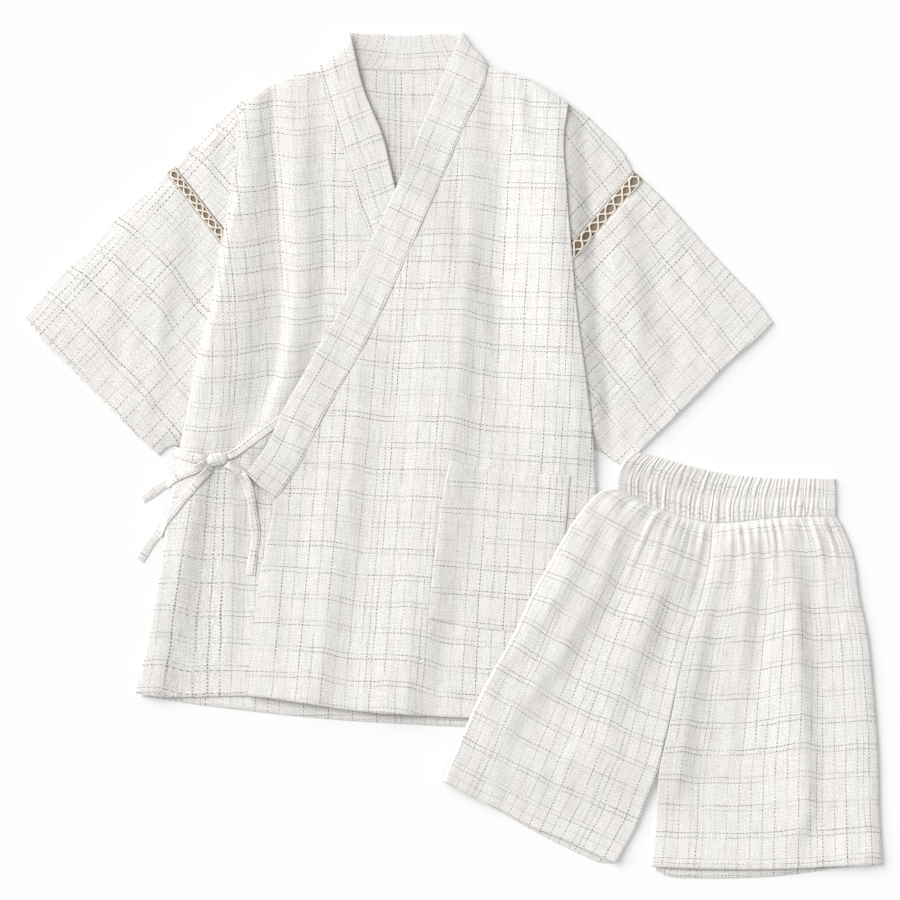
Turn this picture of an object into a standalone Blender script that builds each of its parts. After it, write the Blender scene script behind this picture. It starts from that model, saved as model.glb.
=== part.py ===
"""A short-sleeved jinbei set laid flat: a wrap jacket tied at its side, and shorts over its corner.

Every piece of cloth is a surface laid on what is already down, so that panels lie on each other as they are
sewn.  The plan of a piece is a patch between four edges, its height comes from the pile under it and from a
table of soft folds, and a Solidify modifier gives the wall its thickness.  Lengths in the tables are in
millimetres: x to the right, y towards the collar, z up.  "Right" and "left" are the wearer's.
"""

import math
from collections import namedtuple

import bmesh
import bpy
import numpy as np
from mathutils import Matrix

MM = 0.001

# Driving sizes, in millimetres
CLOTH = 1.2            # wall of one layer of cloth
BAND = 1.6             # wall of a folded band: collar, waistband, ties
AIR = 0.5              # clearance between layers that lie on each other
SEAM = 0.4             # clearance between pieces at a seam
HIDDEN_SEAM = 1.2      # the same where panels with few points meet out of sight
RIM = 5.0              # width over which an outer edge comes down to what is under it
CAVITY = 0.5           # room inside a sleeve or waistband that lies flat
FOLD_WALL = 1.4        # how far a fold's inner side lies from its edge, in walls
BRAID_WALL = 0.8       # thickness of the openwork braid
BRAID_BORDER = 1.6     # width of the braid's border
BRAID_THREAD = 1.3     # half the width of its crossing threads
BRAID_DIAMONDS = 9     # open diamonds along it
BED_SIZE = 1040.0      # side of the height map of the pile
BED_CELL = 2.0         # spacing of the height map
REACH = 8.0            # distance over which a panel eases up onto what it lies on
SHORTS_REACH = 18.0    # the same for the shorts, which cross a taller pile
TIE_REACH = 4.0        # the same for narrow ties and the pocket
GATHERS = 50           # ridges of the gathered waistband
GATHER_HEIGHT = 1.5    # height of a gather
GATHER_DRIFT = ((7, 0.0016), (17, 0.0011))   # unevenness of the gathers: waves along the band, their shift
GATHER_SWELL = (5.3, 0.2)                    # waves of the gathers' height along the band, and their share
EASED_HEIGHT = 0.25    # share of a fold's height that is left at a loose edge

Outline = namedtuple("Outline", "top bottom left right")
Fold = namedtuple("Fold", "x0 y0 x1 y1 x2 y2 width start middle end")
Finish = namedtuple("Finish", "colour roughness")

FINISHES = {
    "check_cloth": Finish((0.80, 0.79, 0.77), 0.85),
    "braid_thread": Finish((0.83, 0.79, 0.70), 0.6),
    "braid_tape": Finish((0.26, 0.19, 0.13), 0.8),
}

# Edges of the jacket, columns x and y.  A point written twice is a corner.
NECK_SEAM = ((-152, 442), (-109, 443), (-60, 441), (-9, 443), (36, 442))
RIGHT_SHOULDER = ((-233, 415), (-206, 427), (-178, 438), (-157, 446))
LEFT_SHOULDER = ((39, 446), (64, 439), (87, 431), (109, 417), (131, 404))
RIGHT_SIDE = ((-233, 415), (-247, 380), (-252, 335), (-260, 283), (-270, 231), (-281, 166), (-294, 118),
              (-306, 55), (-316, 5), (-327, -53), (-335, -109), (-347, -179), (-366, -275))
LEFT_SIDE = ((131, 404), (126, 369), (129, 303), (135, 231), (140, 173), (151, 90), (159, 24), (163, -41),
             (171, -121), (178, -213), (182, -303))
RIGHT_BAND_SEAM = ((-157, 446), (-137, 382), (-124, 335), (-105, 274), (-64, 189), (-17, 97), (41, 5),
                   (81, -52))
LEFT_BAND_SEAM = ((39, 446), (32, 419), (13, 380), (-17, 311), (-55, 226), (-96, 139), (-134, 72),
                  (-154, 37), (-178, -13), (-206, -53))
RIGHT_FREE_EDGE = ((81, -52), (104, -298))
LEFT_FREE_EDGE = ((-206, -53), (-228, -167), (-239, -277))

BACK = Outline(
    top=((-222, 412), (-204, 422), (-177, 433), NECK_SEAM[0], *NECK_SEAM, NECK_SEAM[-1], (63, 433),
         (86, 425), (107, 412), (121, 401)),
    bottom=((-360, -278), (-321, -284), (-226, -296), (-147, -304), (-55, -310), (11, -313), (98, -315),
            (178, -308)),
    left=((-222, 412), (-237, 380), (-242, 335), (-250, 283), (-256, 236), (-262, 213), (-267, 189),
          (-284, 118), (-296, 55), (-306, 8), (-323, -53), (-331, -109), (-343, -179), (-360, -278)),
    right=((121, 401), (116, 369), (119, 303), (123, 236), (126, 212), (130, 173), (141, 90), (149, 24),
           (152, 4), (159, -41), (167, -121), (174, -213), (178, -308)))
BACK_BAND = Outline(
    top=((-118, 485), (-91, 484), (-60, 482), (-22, 484), (8, 484)),
    bottom=NECK_SEAM,
    left=((-118, 485), (-121, 475), (-131, 462), (-152, 442)),
    right=((8, 484), (18, 467), (31, 453), (36, 442)))
RIGHT_FRONT = Outline(
    top=RIGHT_SHOULDER,
    bottom=((-366, -275), (-335, -279), (-303, -279), (-239, -278), (-143, -283), (-17, -295), (104, -298)),
    left=RIGHT_SIDE,
    right=(*RIGHT_BAND_SEAM, *RIGHT_FREE_EDGE))
RIGHT_BAND = Outline(
    top=((-157, 446), (-134, 465), (-124, 477), (-120, 488)),
    bottom=((81, -52), (118, -27)),
    left=RIGHT_BAND_SEAM,
    right=((-120, 488), (-116, 469), (-104, 420), (-83, 369), (-67, 306), (-24, 209), (24, 118), (79, 29),
           (118, -27)))
LEFT_FRONT = Outline(
    top=LEFT_SHOULDER,
    bottom=((-239, -277), (-178, -285), (-127, -293), (-90, -297), (-45, -300), (13, -303), (98, -306),
            (182, -303)),
    left=(*LEFT_BAND_SEAM, *LEFT_FREE_EDGE),
    right=LEFT_SIDE)
LEFT_BAND = Outline(
    top=((10, 486), (20, 470), (34, 455), (39, 446)),
    bottom=((-239, -22), (-206, -53)),
    left=((10, 486), (-9, 447), (-27, 404), (-57, 329), (-96, 246), (-137, 158), (-173, 94), (-193, 59),
          (-217, 9), (-239, -22)),
    right=LEFT_BAND_SEAM)
POCKET = Outline(
    top=((-5, -7), (20, -13), (49, -18), (78, -21), (133, -24)),
    bottom=((-30, -188), (1, -195), (29, -200), (65, -203), (110, -209)),
    left=((-5, -7), (-12, -39), (-20, -98), (-27, -156), (-30, -188)),
    right=((133, -24), (128, -86), (119, -167), (110, -209)))

# Sleeves: "top" is the fold along the shoulder, "bottom" the underarm, "left" the armhole, "right" the cuff
RIGHT_BRAID_UPPER = ((-320.1, 330.8), (-258.4, 236.0))
RIGHT_BRAID_LOWER = ((-331.9, 323.2), (-264.2, 219.2))
LEFT_BRAID_UPPER = ((205.6, 325.6), (125.5, 234.5))
LEFT_BRAID_LOWER = ((218.4, 314.4), (128.5, 212.1))
SLEEVE_HEADS = {
    "right": Outline(
        top=((-226, 417), (-233, 414), (-258, 395), (-281, 376), (-303, 354), RIGHT_BRAID_UPPER[0]),
        bottom=((-256, 257), (-267.5, 250.0)),
        left=((-226, 417), (-239, 380), (-244, 335), (-252, 283), (-256, 257)),
        right=(RIGHT_BRAID_UPPER[0], (-267.5, 250.0))),
    "left": Outline(
        top=((124, 407), (131, 403), (148, 393), (167, 375), (194, 347), LEFT_BRAID_UPPER[0]),
        bottom=((123, 252), (134.5, 244.7)),
        left=((124, 407), (118, 369), (121, 303), (123, 252)),
        right=(LEFT_BRAID_UPPER[0], (134.5, 244.7))),
}
TAPES = {
    "right": Outline(top=(RIGHT_BRAID_UPPER[0], RIGHT_BRAID_LOWER[0]),
                     bottom=(RIGHT_BRAID_UPPER[1], RIGHT_BRAID_LOWER[1]),
                     left=RIGHT_BRAID_UPPER, right=RIGHT_BRAID_LOWER),
    "left": Outline(top=(LEFT_BRAID_UPPER[0], LEFT_BRAID_LOWER[0]),
                    bottom=(LEFT_BRAID_UPPER[1], LEFT_BRAID_LOWER[1]),
                    left=LEFT_BRAID_UPPER, right=LEFT_BRAID_LOWER),
}
SLEEVES = {
    "right": Outline(
        top=(RIGHT_BRAID_LOWER[0], (-354, 303), (-390, 271), (-417, 239), (-450, 210), (-478, 178),
             (-494, 158)),
        bottom=((-308, 8), (-327, 9), (-340, -1)),
        left=(*RIGHT_BRAID_LOWER, RIGHT_BRAID_LOWER[1], (-269, 189), (-273, 166), (-286, 118), (-298, 55),
              (-308, 8)),
        right=((-494, 158), (-478, 137), (-456, 114), (-412, 70), (-369, 26), (-340, -1))),
    "left": Outline(
        top=(LEFT_BRAID_LOWER[0], (242, 292), (262, 270), (282, 247), (326, 200), (348, 177), (366, 152)),
        bottom=((154, 6), (167, 4), (181, -6), (195, -14)),
        left=(*LEFT_BRAID_LOWER, LEFT_BRAID_LOWER[1], (132, 173), (143, 90), (151, 24), (154, 6)),
        right=((366, 152), (347, 133), (321, 111), (273, 63), (233, 24), (195, -14))),
}

# Edges of the shorts
WAIST_SEAM = ((186, -39), (213, -52), (242, -64), (271, -74), (297, -79), (320, -78), (347, -75), (377, -72),
              (408, -71), (439, -71))
CENTRE_SEAM = ((297, -79), (293, -121), (287, -150), (277, -187), (267, -219), (257, -259))
RIGHT_LEG_SIDE = ((186, -39), (173, -40), (164, -45), (141, -71), (109, -124), (90, -158), (66, -209),
                  (34, -266), (5, -331), (-14, -375))
LEFT_LEG_SIDE = ((439, -71), (447, -85), (459, -117), (466, -165), (474, -201), (482, -273), (487, -339),
                 (489, -409), (492, -471))
WAISTBAND = Outline(
    top=((206, 3), (234, -3), (254, -9), (282, -16), (301, -20), (329, -24), (358, -27), (396, -27),
         (438, -28)),
    bottom=(*WAIST_SEAM[:5], *WAIST_SEAM[4:]),
    left=((206, 3), (196, -6), (188, -20), (186, -39)),
    right=((438, -28), (439, -48), (439, -71)))
LEG_FRONTS = {
    "right": Outline(
        top=WAIST_SEAM[:5],
        bottom=((-14, -375), (25, -396), (60, -412), (89, -428), (119, -440), (167, -462), (185, -470)),
        left=RIGHT_LEG_SIDE,
        right=(*CENTRE_SEAM, CENTRE_SEAM[-1], (241, -331), (234, -361), (221, -394), (209, -427),
               (191, -459), (185, -470))),
    "left": Outline(
        top=WAIST_SEAM[4:],
        bottom=((226, -474), (278, -476), (355, -477), (432, -474), (492, -471)),
        left=(*CENTRE_SEAM, CENTRE_SEAM[-1], (256, -290), (244, -331), (236, -361), (233, -394), (231, -432),
              (226, -474)),
        right=LEFT_LEG_SIDE),
}
LEG_BACKS = {
    "right": Outline(
        top=((189, -41), *WAIST_SEAM[1:5]),
        bottom=((-9, -378), (42, -405), (102, -439), (141, -458), (167, -469), (181, -470)),
        left=((189, -41), (176, -44), (167, -49), (145, -74), (113, -126), (94, -160), (70, -211),
              (38, -268), (9, -333), (-9, -378)),
        right=(*CENTRE_SEAM, CENTRE_SEAM[-1], (237, -331), (230, -361), (217, -394), (205, -427),
               (187, -459), (181, -470))),
    "left": Outline(
        top=(*WAIST_SEAM[4:-1], (435, -71)),
        bottom=((231, -478), (240, -483), (278, -487), (321, -487), (377, -484), (432, -477), (488, -470)),
        left=(*CENTRE_SEAM, CENTRE_SEAM[-1], (260, -290), (248, -331), (240, -361), (237, -394), (235, -432),
              (231, -478)),
        right=((435, -71), (443, -87), (455, -118), (462, -166), (470, -202), (478, -273), (483, -339),
               (485, -409), (488, -470))),
}

# Ties: the middle line of each, as it runs from the knot or to it
TIES = {
    "tie_outer": ((-254, 1), (-246, 6), (-233, 16), (-221, 25), (-209, 33)),
    "tie_side": ((-291, -4), (-296, -4), (-310, -1), (-324, 5)),
    "tie_tail_1": ((-289, -12), (-297, -17), (-312, -22), (-329, -32), (-344, -42), (-359, -52)),
    "tie_tail_2": ((-284, -20), (-292, -28), (-309, -48), (-329, -72), (-347, -99), (-362, -122)),
    "tie_tail_3": ((-257, -13), (-250, -17), (-240, -30), (-234, -49), (-231, -70), (-228, -93),
                   (-231, -113), (-234, -139)),
}
TIE_WIDTH = 9.5
TIE_ROOT_WIDTH = 5.0
TIE_ROOT_LENGTH = 14.0
TIE_STEP = 6.0                 # spacing of a tie's cross rows
KNOT_CENTRE = (-272.5, -6.0)
KNOT_SIZE = (23.0, 14.0, 7.5)
KNOT_TURN = math.radians(10)
KNOT_WRAPS = 3
KNOT_FLAT = 0.6                # how far down, of its half height, the knot's flat underside lies
WRAP_DEPTH = 0.16              # depth of the grooves between wraps, of the half height

# Soft folds, a row each: three points along the crest, its half width, and its height at those points
RIGHT_FRONT_FOLDS = (
    Fold(-243, 394, -258, 270, -298, 22, 14, 1.5, 3.0, 2.5),
    Fold(-191, 421, -186, 270, -214, 57, 17, 1.5, 4.0, 3.5),
    Fold(-252, 178, -267, 97, -286, 24, 15, 0.5, 2.5, 3.0),
    Fold(-304, -29, -318, -121, -343, -265, 14, 2.5, 4.0, 2.0),
    Fold(-267, -34, -263, -121, -267, -213, 12, 2.5, 2.0, 1.0),
)
LEFT_FRONT_FOLDS = (
    Fold(22, 419, 13, 212, -10, -1, 17, 1.0, 2.5, 3.0),
    Fold(-106, 126, -120, -52, -168, -271, 18, 0.8, 2.5, 2.5),
    Fold(-32, -18, -49, -156, -73, -282, 14, 1.5, 3.5, 3.0),
    Fold(117, 373, 128, 155, 147, -1, 15, 2.5, 3.5, 3.0),
    Fold(87, 413, 94, 178, 90, -6, 30, 1.0, 1.5, 0.5),
    Fold(-203, -80, -206, -160, -221, -270, 12, 1.0, 1.5, 1.0),
)
SLEEVE_FOLDS = {
    "right": (
        Fold(-327, 241, -344, 166, -355, 91, 18, 1.0, 2.5, 1.0),
        Fold(-385, 235, -408, 178, -425, 120, 20, 0.5, 1.0, 0.8),
    ),
    "left": (
        Fold(200, 270, 200, 189, 216, 68, 17, 0.8, 2.5, 1.5),
        Fold(271, 224, 282, 166, 288, 120, 20, 0.5, 1.0, 0.8),
    ),
}
SLEEVE_HEAD_FOLDS = {
    "right": (Fold(-277, 385, -280, 360, -284, 340, 12, 0.5, 1.5, 0.8),),
    "left": (Fold(150, 370, 155, 340, 160, 320, 12, 0.3, 1.0, 0.5),),
}
LEG_FOLDS = {
    "right": (
        Fold(137, -81, 98, -179, 58, -351, 13, 2.0, 2.5, 1.0),
        Fold(191, -62, 162, -150, 108, -265, 12, 2.0, 3.5, 1.0),
        Fold(247, -80, 227, -167, 186, -277, 13, 2.0, 4.0, 1.5),
        Fold(274, -89, 262, -167, 250, -236, 8, 2.0, 2.0, 0.5),
        Fold(167, -56, 158, -66, 148, -85, 6, 1.8, 1.5, 0.5),
        Fold(218, -66, 205, -87, 194, -112, 6, 1.8, 1.8, 0.5),
        Fold(158, -300, 180, -330, 200, -390, 25, 0.3, 1.0, 0.5),
    ),
    "left": (
        Fold(316, -89, 289, -190, 266, -455, 11, 2.0, 2.5, 1.5),
        Fold(338, -85, 335, -179, 315, -288, 10, 2.2, 3.5, 0.8),
        Fold(378, -80, 389, -190, 397, -455, 14, 2.5, 4.0, 2.0),
        Fold(413, -79, 419, -108, 424, -135, 6, 1.8, 1.8, 0.5),
        Fold(430, -79, 439, -110, 446, -144, 6, 1.5, 1.5, 0.5),
        Fold(363, -82, 363, -110, 361, -144, 6, 1.5, 1.2, 0.3),
        Fold(455, -144, 468, -282, 474, -455, 13, 1.0, 1.5, 1.5),
    ),
}


def corner_rows(points):
    """Places in a table whose point is written twice, counted without the repeats."""
    steps = np.hypot(*np.diff(np.array(points, float), axis=0).T)
    repeats = np.flatnonzero(steps == 0)
    return repeats - np.arange(len(repeats))


def without_repeats(points):
    """The table's points, each once, and their places from 0 to 1 along the chords."""
    line = np.array(points, float)
    steps = np.hypot(*np.diff(line, axis=0).T)
    line = line[np.concatenate([[True], steps > 0])]
    steps = steps[steps > 0]
    return line, np.concatenate([[0.0], np.cumsum(steps)]) / steps.sum()


def corner_place(points):
    """How far along the line, from 0 to 1, its first corner lies."""
    places = without_repeats(points)[1]
    return places[corner_rows(points)[0]]


def curve(points, stations):
    """Smooth line through a table's points, with its corners kept, read at stations from 0 to 1."""
    line, places = without_repeats(points)
    corners = corner_rows(points)
    span = np.diff(places)[:, None]
    slope = np.diff(line, axis=0) / span
    middle = (slope[:-1] * span[1:] + slope[1:] * span[:-1]) / (span[1:] + span[:-1])
    arriving = np.vstack([slope[:1], middle, slope[-1:]])
    leaving = arriving.copy()
    arriving[corners] = slope[corners - 1]
    leaving[corners] = slope[corners]
    row = np.clip(np.searchsorted(places, stations, side="right") - 1, 0, len(span) - 1)
    length = span[row]
    t = (np.asarray(stations)[:, None] - places[row][:, None]) / length
    return (line[row] * (2 * t**3 - 3 * t**2 + 1) + line[row + 1] * (3 * t**2 - 2 * t**3)
            + length * leaving[row] * (t**3 - 2 * t**2 + t) + length * arriving[row + 1] * (t**3 - t**2))


def stations(counts, breaks=()):
    """Places from 0 to 1, in even steps between the breaks."""
    ends = (0.0, *breaks, 1.0)
    runs = [np.linspace(start, end, count, endpoint=False)
            for start, end, count in zip(ends[:-1], ends[1:], counts)]
    return np.concatenate([*runs, [1.0]])


def patch(outline, across, down):
    """Plan of a panel: the blend of its four edges, in rows running down and columns running to the right."""
    top, bottom = curve(outline.top, across), curve(outline.bottom, across)
    left, right = curve(outline.left, down), curve(outline.right, down)
    u, v = across[None, :, None], down[:, None, None]
    sides = (1 - u) * left[:, None] + u * right[:, None]
    ends = (1 - v) * top[None] + v * bottom[None]
    corners = ((1 - v) * ((1 - u) * top[0] + u * top[-1]) + v * ((1 - u) * bottom[0] + u * bottom[-1]))
    return sides + ends - corners


def lines_from(plan, side):
    """The same array seen as lines of points, the given side's line first."""
    lines = plan if side in ("top", "bottom") else np.swapaxes(plan, 0, 1)
    return lines if side in ("top", "left") else lines[::-1]


def inward(lines):
    """Directions of unit length from a side's line to the next one."""
    away = lines[1] - lines[0]
    return away / np.linalg.norm(away, axis=-1, keepdims=True)


def drawn_in(plan, sides, distance):
    """The plan with the named sides moved inwards."""
    result = plan.copy()
    for side in sides:
        lines = lines_from(result, side)
        lines[0] += distance * inward(lines)
    return result


def with_rim(plan, side, width):
    """The plan with one more line of points, at the given distance inside a side."""
    lines = lines_from(plan, side)
    extra = lines[0] + width * inward(lines)
    return lines_from(np.concatenate([lines[:1], extra[None], lines[1:]]), side)


def fold_rise(plan, folds):
    """Height that the soft folds add at each point of a plan."""
    rise = np.zeros(plan.shape[:-1])
    t = np.linspace(0, 1, 15)[:, None]
    for fold in folds:
        first, second, third = ((fold.x0, fold.y0), (fold.x1, fold.y1), (fold.x2, fold.y2))
        weights = np.hstack([(1 - t) * (1 - 2 * t), 4 * t * (1 - t), t * (2 * t - 1)])
        crest = weights @ np.array([first, second, third], float)
        heights = np.interp(t[:, 0], (0, 0.5, 1), (fold.start, fold.middle, fold.end))
        start, step = crest[:-1], np.diff(crest, axis=0)
        offset = plan[..., None, :] - start
        share = np.clip((offset * step).sum(-1) / (step**2).sum(-1), 0, 1)
        distance = np.linalg.norm(offset - share[..., None] * step, axis=-1)
        nearest = distance.argmin(-1)
        share = np.take_along_axis(share, nearest[..., None], -1)[..., 0]
        distance = distance.min(-1)
        height = heights[nearest] + share * (heights[nearest + 1] - heights[nearest])
        rise += height * np.exp(-(distance / fold.width) ** 2)
    return rise


class Bed:
    """Height of the pile laid so far, on a square map with the floor at zero."""

    def __init__(self):
        self.count = int(BED_SIZE / BED_CELL) + 1
        self.height = np.zeros((self.count, self.count))

    def cells(self, plan):
        """Places in the map, in cells, of points in millimetres."""
        return (plan + BED_SIZE / 2) / BED_CELL

    def add(self, surface, thickness):
        """Raises the map to the upper side of a piece whose lower surface is given."""
        spread = max(np.abs(np.diff(surface[..., :2], axis=axis)).max() for axis in (0, 1))
        fine = finer(surface, int(math.ceil(2 * spread / BED_CELL)))
        column, row = np.rint(self.cells(fine[..., :2])).astype(int).reshape(-1, 2).T
        np.maximum.at(self.height, (row, column), (fine[..., 2] + thickness).ravel())

    def over(self, plan, reach):
        """Height that clears the pile at a plan's points, eased over the reach on each side of a step."""
        cells = int(round(reach / BED_CELL))
        eased = self.height
        for axis in (0, 1):
            eased = np.max([np.roll(eased, shift, axis) for shift in range(-cells - 1, cells + 2)], axis=0)
        for axis in (0, 1):
            eased = np.mean([np.roll(eased, shift, axis) for shift in range(-cells, cells + 1)], axis=0)
        place = self.cells(plan)
        corner = np.floor(place).astype(int)
        share = place - corner
        column, row = corner[..., 0], corner[..., 1]
        near = eased[row, column] * (1 - share[..., 0]) + eased[row, column + 1] * share[..., 0]
        far = eased[row + 1, column] * (1 - share[..., 0]) + eased[row + 1, column + 1] * share[..., 0]
        return near * (1 - share[..., 1]) + far * share[..., 1]

    def cleared(self, plan, height):
        """The heights, raised where the straight run between two points would cut into the pile."""
        spread = max(np.abs(np.diff(plan, axis=axis)).max() for axis in (0, 1))
        parts = int(math.ceil(spread / BED_CELL))
        ground = self.over(finer(plan, parts), 0)
        ground = ground + np.minimum(AIR, ground)
        rows, columns = height.shape
        for share in (0.5, 0.5, 0.5, 1.0):
            short = ground - finer(height[..., None], parts)[..., 0]
            cell = np.max([short[a::parts, b::parts][:rows - 1, :columns - 1]
                           for a in range(parts + 1) for b in range(parts + 1)], axis=0)
            wanted = np.pad(np.maximum(cell, 0), 1)
            raise_by = np.max([wanted[:-1, :-1], wanted[1:, :-1], wanted[:-1, 1:], wanted[1:, 1:]], axis=0)
            height = height + share * raise_by
        return height


def finer(grid, parts):
    """A grid of values with each of its cells cut into parts by parts, straight between its points."""
    for axis in (0, 1):
        count = grid.shape[axis]
        place = np.linspace(0, count - 1, (count - 1) * parts + 1)
        row = np.minimum(place.astype(int), count - 2)
        share = (place - row).reshape([-1 if axis == place_axis else 1 for place_axis in range(3)])
        grid = np.take(grid, row, axis) * (1 - share) + np.take(grid, row + 1, axis) * share
    return grid


def laid(bed, plan, folds=(), reach=REACH, tight=()):
    """Lower surface of a piece laid on the bed; its tight sides come down to what is close under them."""
    lift = bed.over(plan, reach)
    near = bed.over(plan, 0)
    rise = fold_rise(plan, folds)
    for side in tight:
        lines_from(lift, side)[0] = lines_from(near, side)[0]
        lines_from(rise, side)[0] *= EASED_HEIGHT
    height = bed.cleared(plan, lift + np.minimum(AIR, lift) + rise)
    return np.concatenate([plan, height[..., None]], axis=-1)


def tube(bed, plan, wall, front_rise, back_columns, reach=REACH):
    """Outer and inner skins of a tube pressed flat on the bed: rings across its front and back underneath."""
    lift = bed.over(plan, reach)
    floor = bed.cleared(plan, lift + np.minimum(AIR, lift))
    crown = floor + 2 * wall + CAVITY + front_rise
    middle = (floor + crown) / 2
    skins = []
    for depth in (0.0, wall):
        line = drawn_in(plan, ("left", "right"), FOLD_WALL * depth)
        front = np.concatenate([line, (crown - depth)[..., None]], axis=-1)
        back = np.concatenate([line, (floor + depth)[..., None]], axis=-1)
        for edge in (0, -1):
            front[:, edge, 2] = middle[:, edge]
        skins.append(np.concatenate([front, back[:, back_columns][:, ::-1], front[:, :1]], axis=1))
    return skins, np.concatenate([plan, crown[..., None]], axis=-1)


def mirrored(surface):
    """Whether a grid's rows and columns turn the other way from rows down and columns to the right."""
    along = surface[:-1, 1:] - surface[:-1, :-1]
    down = surface[1:, :-1] - surface[:-1, :-1]
    return np.sum(along[..., 0] * down[..., 1] - along[..., 1] * down[..., 0]) > 0


def collection_object(name, mesh, finish):
    """Puts a mesh into the set's collection under its own name, with its own material."""
    thing = bpy.data.objects.new(name, mesh)
    material = bpy.data.materials.new(name)
    material.use_nodes = True
    shader = material.node_tree.nodes["Principled BSDF"]
    shader.inputs["Base Color"].default_value = (*FINISHES[finish].colour, 1)
    shader.inputs["Roughness"].default_value = FINISHES[finish].roughness
    shader.inputs["Metallic"].default_value = 0.0
    mesh.materials.append(material)
    bpy.data.collections["jinbei_set"].objects.link(thing)
    return thing


def grid_mesh(name, surface, wall=0.0):
    """Makes a mesh from rows of points, joining those that meet, and thickens it upwards by the wall."""
    rows, columns = surface.shape[:2]
    shape = bmesh.new()
    bmesh.ops.create_grid(shape, x_segments=columns - 1, y_segments=rows - 1, size=1)
    shape.verts.ensure_lookup_table()
    for vertex, point in zip(shape.verts, surface[::-1].reshape(-1, 3) * MM):
        vertex.co = point
    bmesh.ops.remove_doubles(shape, verts=shape.verts, dist=1e-6)
    if wall:
        raised = bmesh.ops.extrude_face_region(shape, geom=shape.faces[:])["geom"]
        upper = [part for part in raised if isinstance(part, bmesh.types.BMVert)]
        bmesh.ops.translate(shape, verts=upper, vec=(0, 0, wall * MM))
        bmesh.ops.recalc_face_normals(shape, faces=shape.faces)
    mesh = bpy.data.meshes.new(name)
    shape.to_mesh(mesh)
    shape.free()
    mesh.shade_smooth()
    return mesh


def tube_cloth(name, skins, front, finish="check_cloth"):
    """Makes a tube from its outer and inner skins, joined round its two open ends."""
    outer, inner = skins
    surface = np.concatenate([outer, inner[::-1], outer[:1]])
    collection_object(name, grid_mesh(name, surface[::-1] if mirrored(front) else surface), finish)


def sheet(bed, name, outline, across, down, seams, tight=(), folds=(), wall=CLOTH, reach=REACH, gap=SEAM / 2):
    """A sewn panel: its plan with the seams drawn in and its tight sides rimmed, laid on the bed."""
    plan = patch(outline, across, down)
    for side in tight:
        plan = with_rim(plan, side, RIM)
    plan = drawn_in(plan, seams, gap)
    surface = laid(bed, plan, folds, reach, tight)
    collection_object(name, grid_mesh(name, surface, wall), "check_cloth")
    return surface, wall


def sleeve_tube(bed, name, outline, across, down, folds, seams, finish="check_cloth"):
    """A flat sleeve, or a ring of one: rows of its plan run from the armhole to the cuff."""
    plan = np.swapaxes(patch(outline, across, down), 0, 1)
    plan = with_rim(with_rim(plan, "left", RIM / 2), "right", RIM / 2)
    plan = drawn_in(plan, seams, SEAM / 2)
    last = plan.shape[1] - 1
    under = [1, *range(2, last - 1, 2), last - 1]
    skins, front = tube(bed, plan, CLOTH, fold_rise(plan, folds), under)
    tube_cloth(name, skins, front, finish)
    return front, 0.0


def make_sleeves(bed):
    """Sleeve head, tape and sleeve of each side, each a tube lying flat on the floor."""
    layers = []
    for side in ("right", "left"):
        head, tape, sleeve = SLEEVE_HEADS[side], TAPES[side], SLEEVES[side]
        corner = corner_place(sleeve.left)
        layers.append(sleeve_tube(bed, f"sleeve_head_{side}", head, stations([6]), stations([7]),
                                  SLEEVE_HEAD_FOLDS[side], ("bottom",)))
        layers.append(sleeve_tube(bed, f"braid_tape_{side}", tape, stations([1]), stations([8]), (),
                                  ("top", "bottom"), "braid_tape"))
        layers.append(sleeve_tube(bed, f"sleeve_{side}", sleeve, stations([10]),
                                  stations([6, 8], [corner]), SLEEVE_FOLDS[side], ("top",)))
    return layers


def make_back(bed):
    """Back panel and the back stretch of the collar, flat on the floor."""
    return [sheet(bed, "back_panel", BACK, stations([12]), stations([14]), ("top",)),
            sheet(bed, "collar_back", BACK_BAND, stations([8]), stations([3]), ("bottom",), wall=BAND)]


def make_right_front(bed):
    """Under front and its stretch of the collar."""
    corner = corner_place(RIGHT_FRONT.right)
    return [sheet(bed, "front_right", RIGHT_FRONT, stations([19]), stations([13, 5], [corner]), ("right",),
                  ("left", "top"), RIGHT_FRONT_FOLDS),
            sheet(bed, "collar_right", RIGHT_BAND, stations([3]), stations([13]), ("left",), ("top",),
                  wall=BAND)]


def make_left_front(bed):
    """Over front and its stretch of the collar."""
    corner = corner_place(LEFT_FRONT.left)
    return [sheet(bed, "front_left", LEFT_FRONT, stations([25]), stations([15, 6], [corner]), ("left",),
                  ("right", "top"), LEFT_FRONT_FOLDS),
            sheet(bed, "collar_left", LEFT_BAND, stations([3]), stations([15]), ("right",), ("top",),
                  LEFT_FRONT_FOLDS, wall=BAND)]


def make_leg_backs(bed):
    """Back panels of the shorts, each with its centre seam on the side of its own name."""
    layers = []
    for side, outline in LEG_BACKS.items():
        corner = corner_place(getattr(outline, side))
        layers.append(sheet(bed, f"shorts_back_{side}", outline, stations([10]),
                            stations([5, 5], [corner]), ("top", side), reach=SHORTS_REACH,
                            gap=HIDDEN_SEAM / 2))
    return layers


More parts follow.
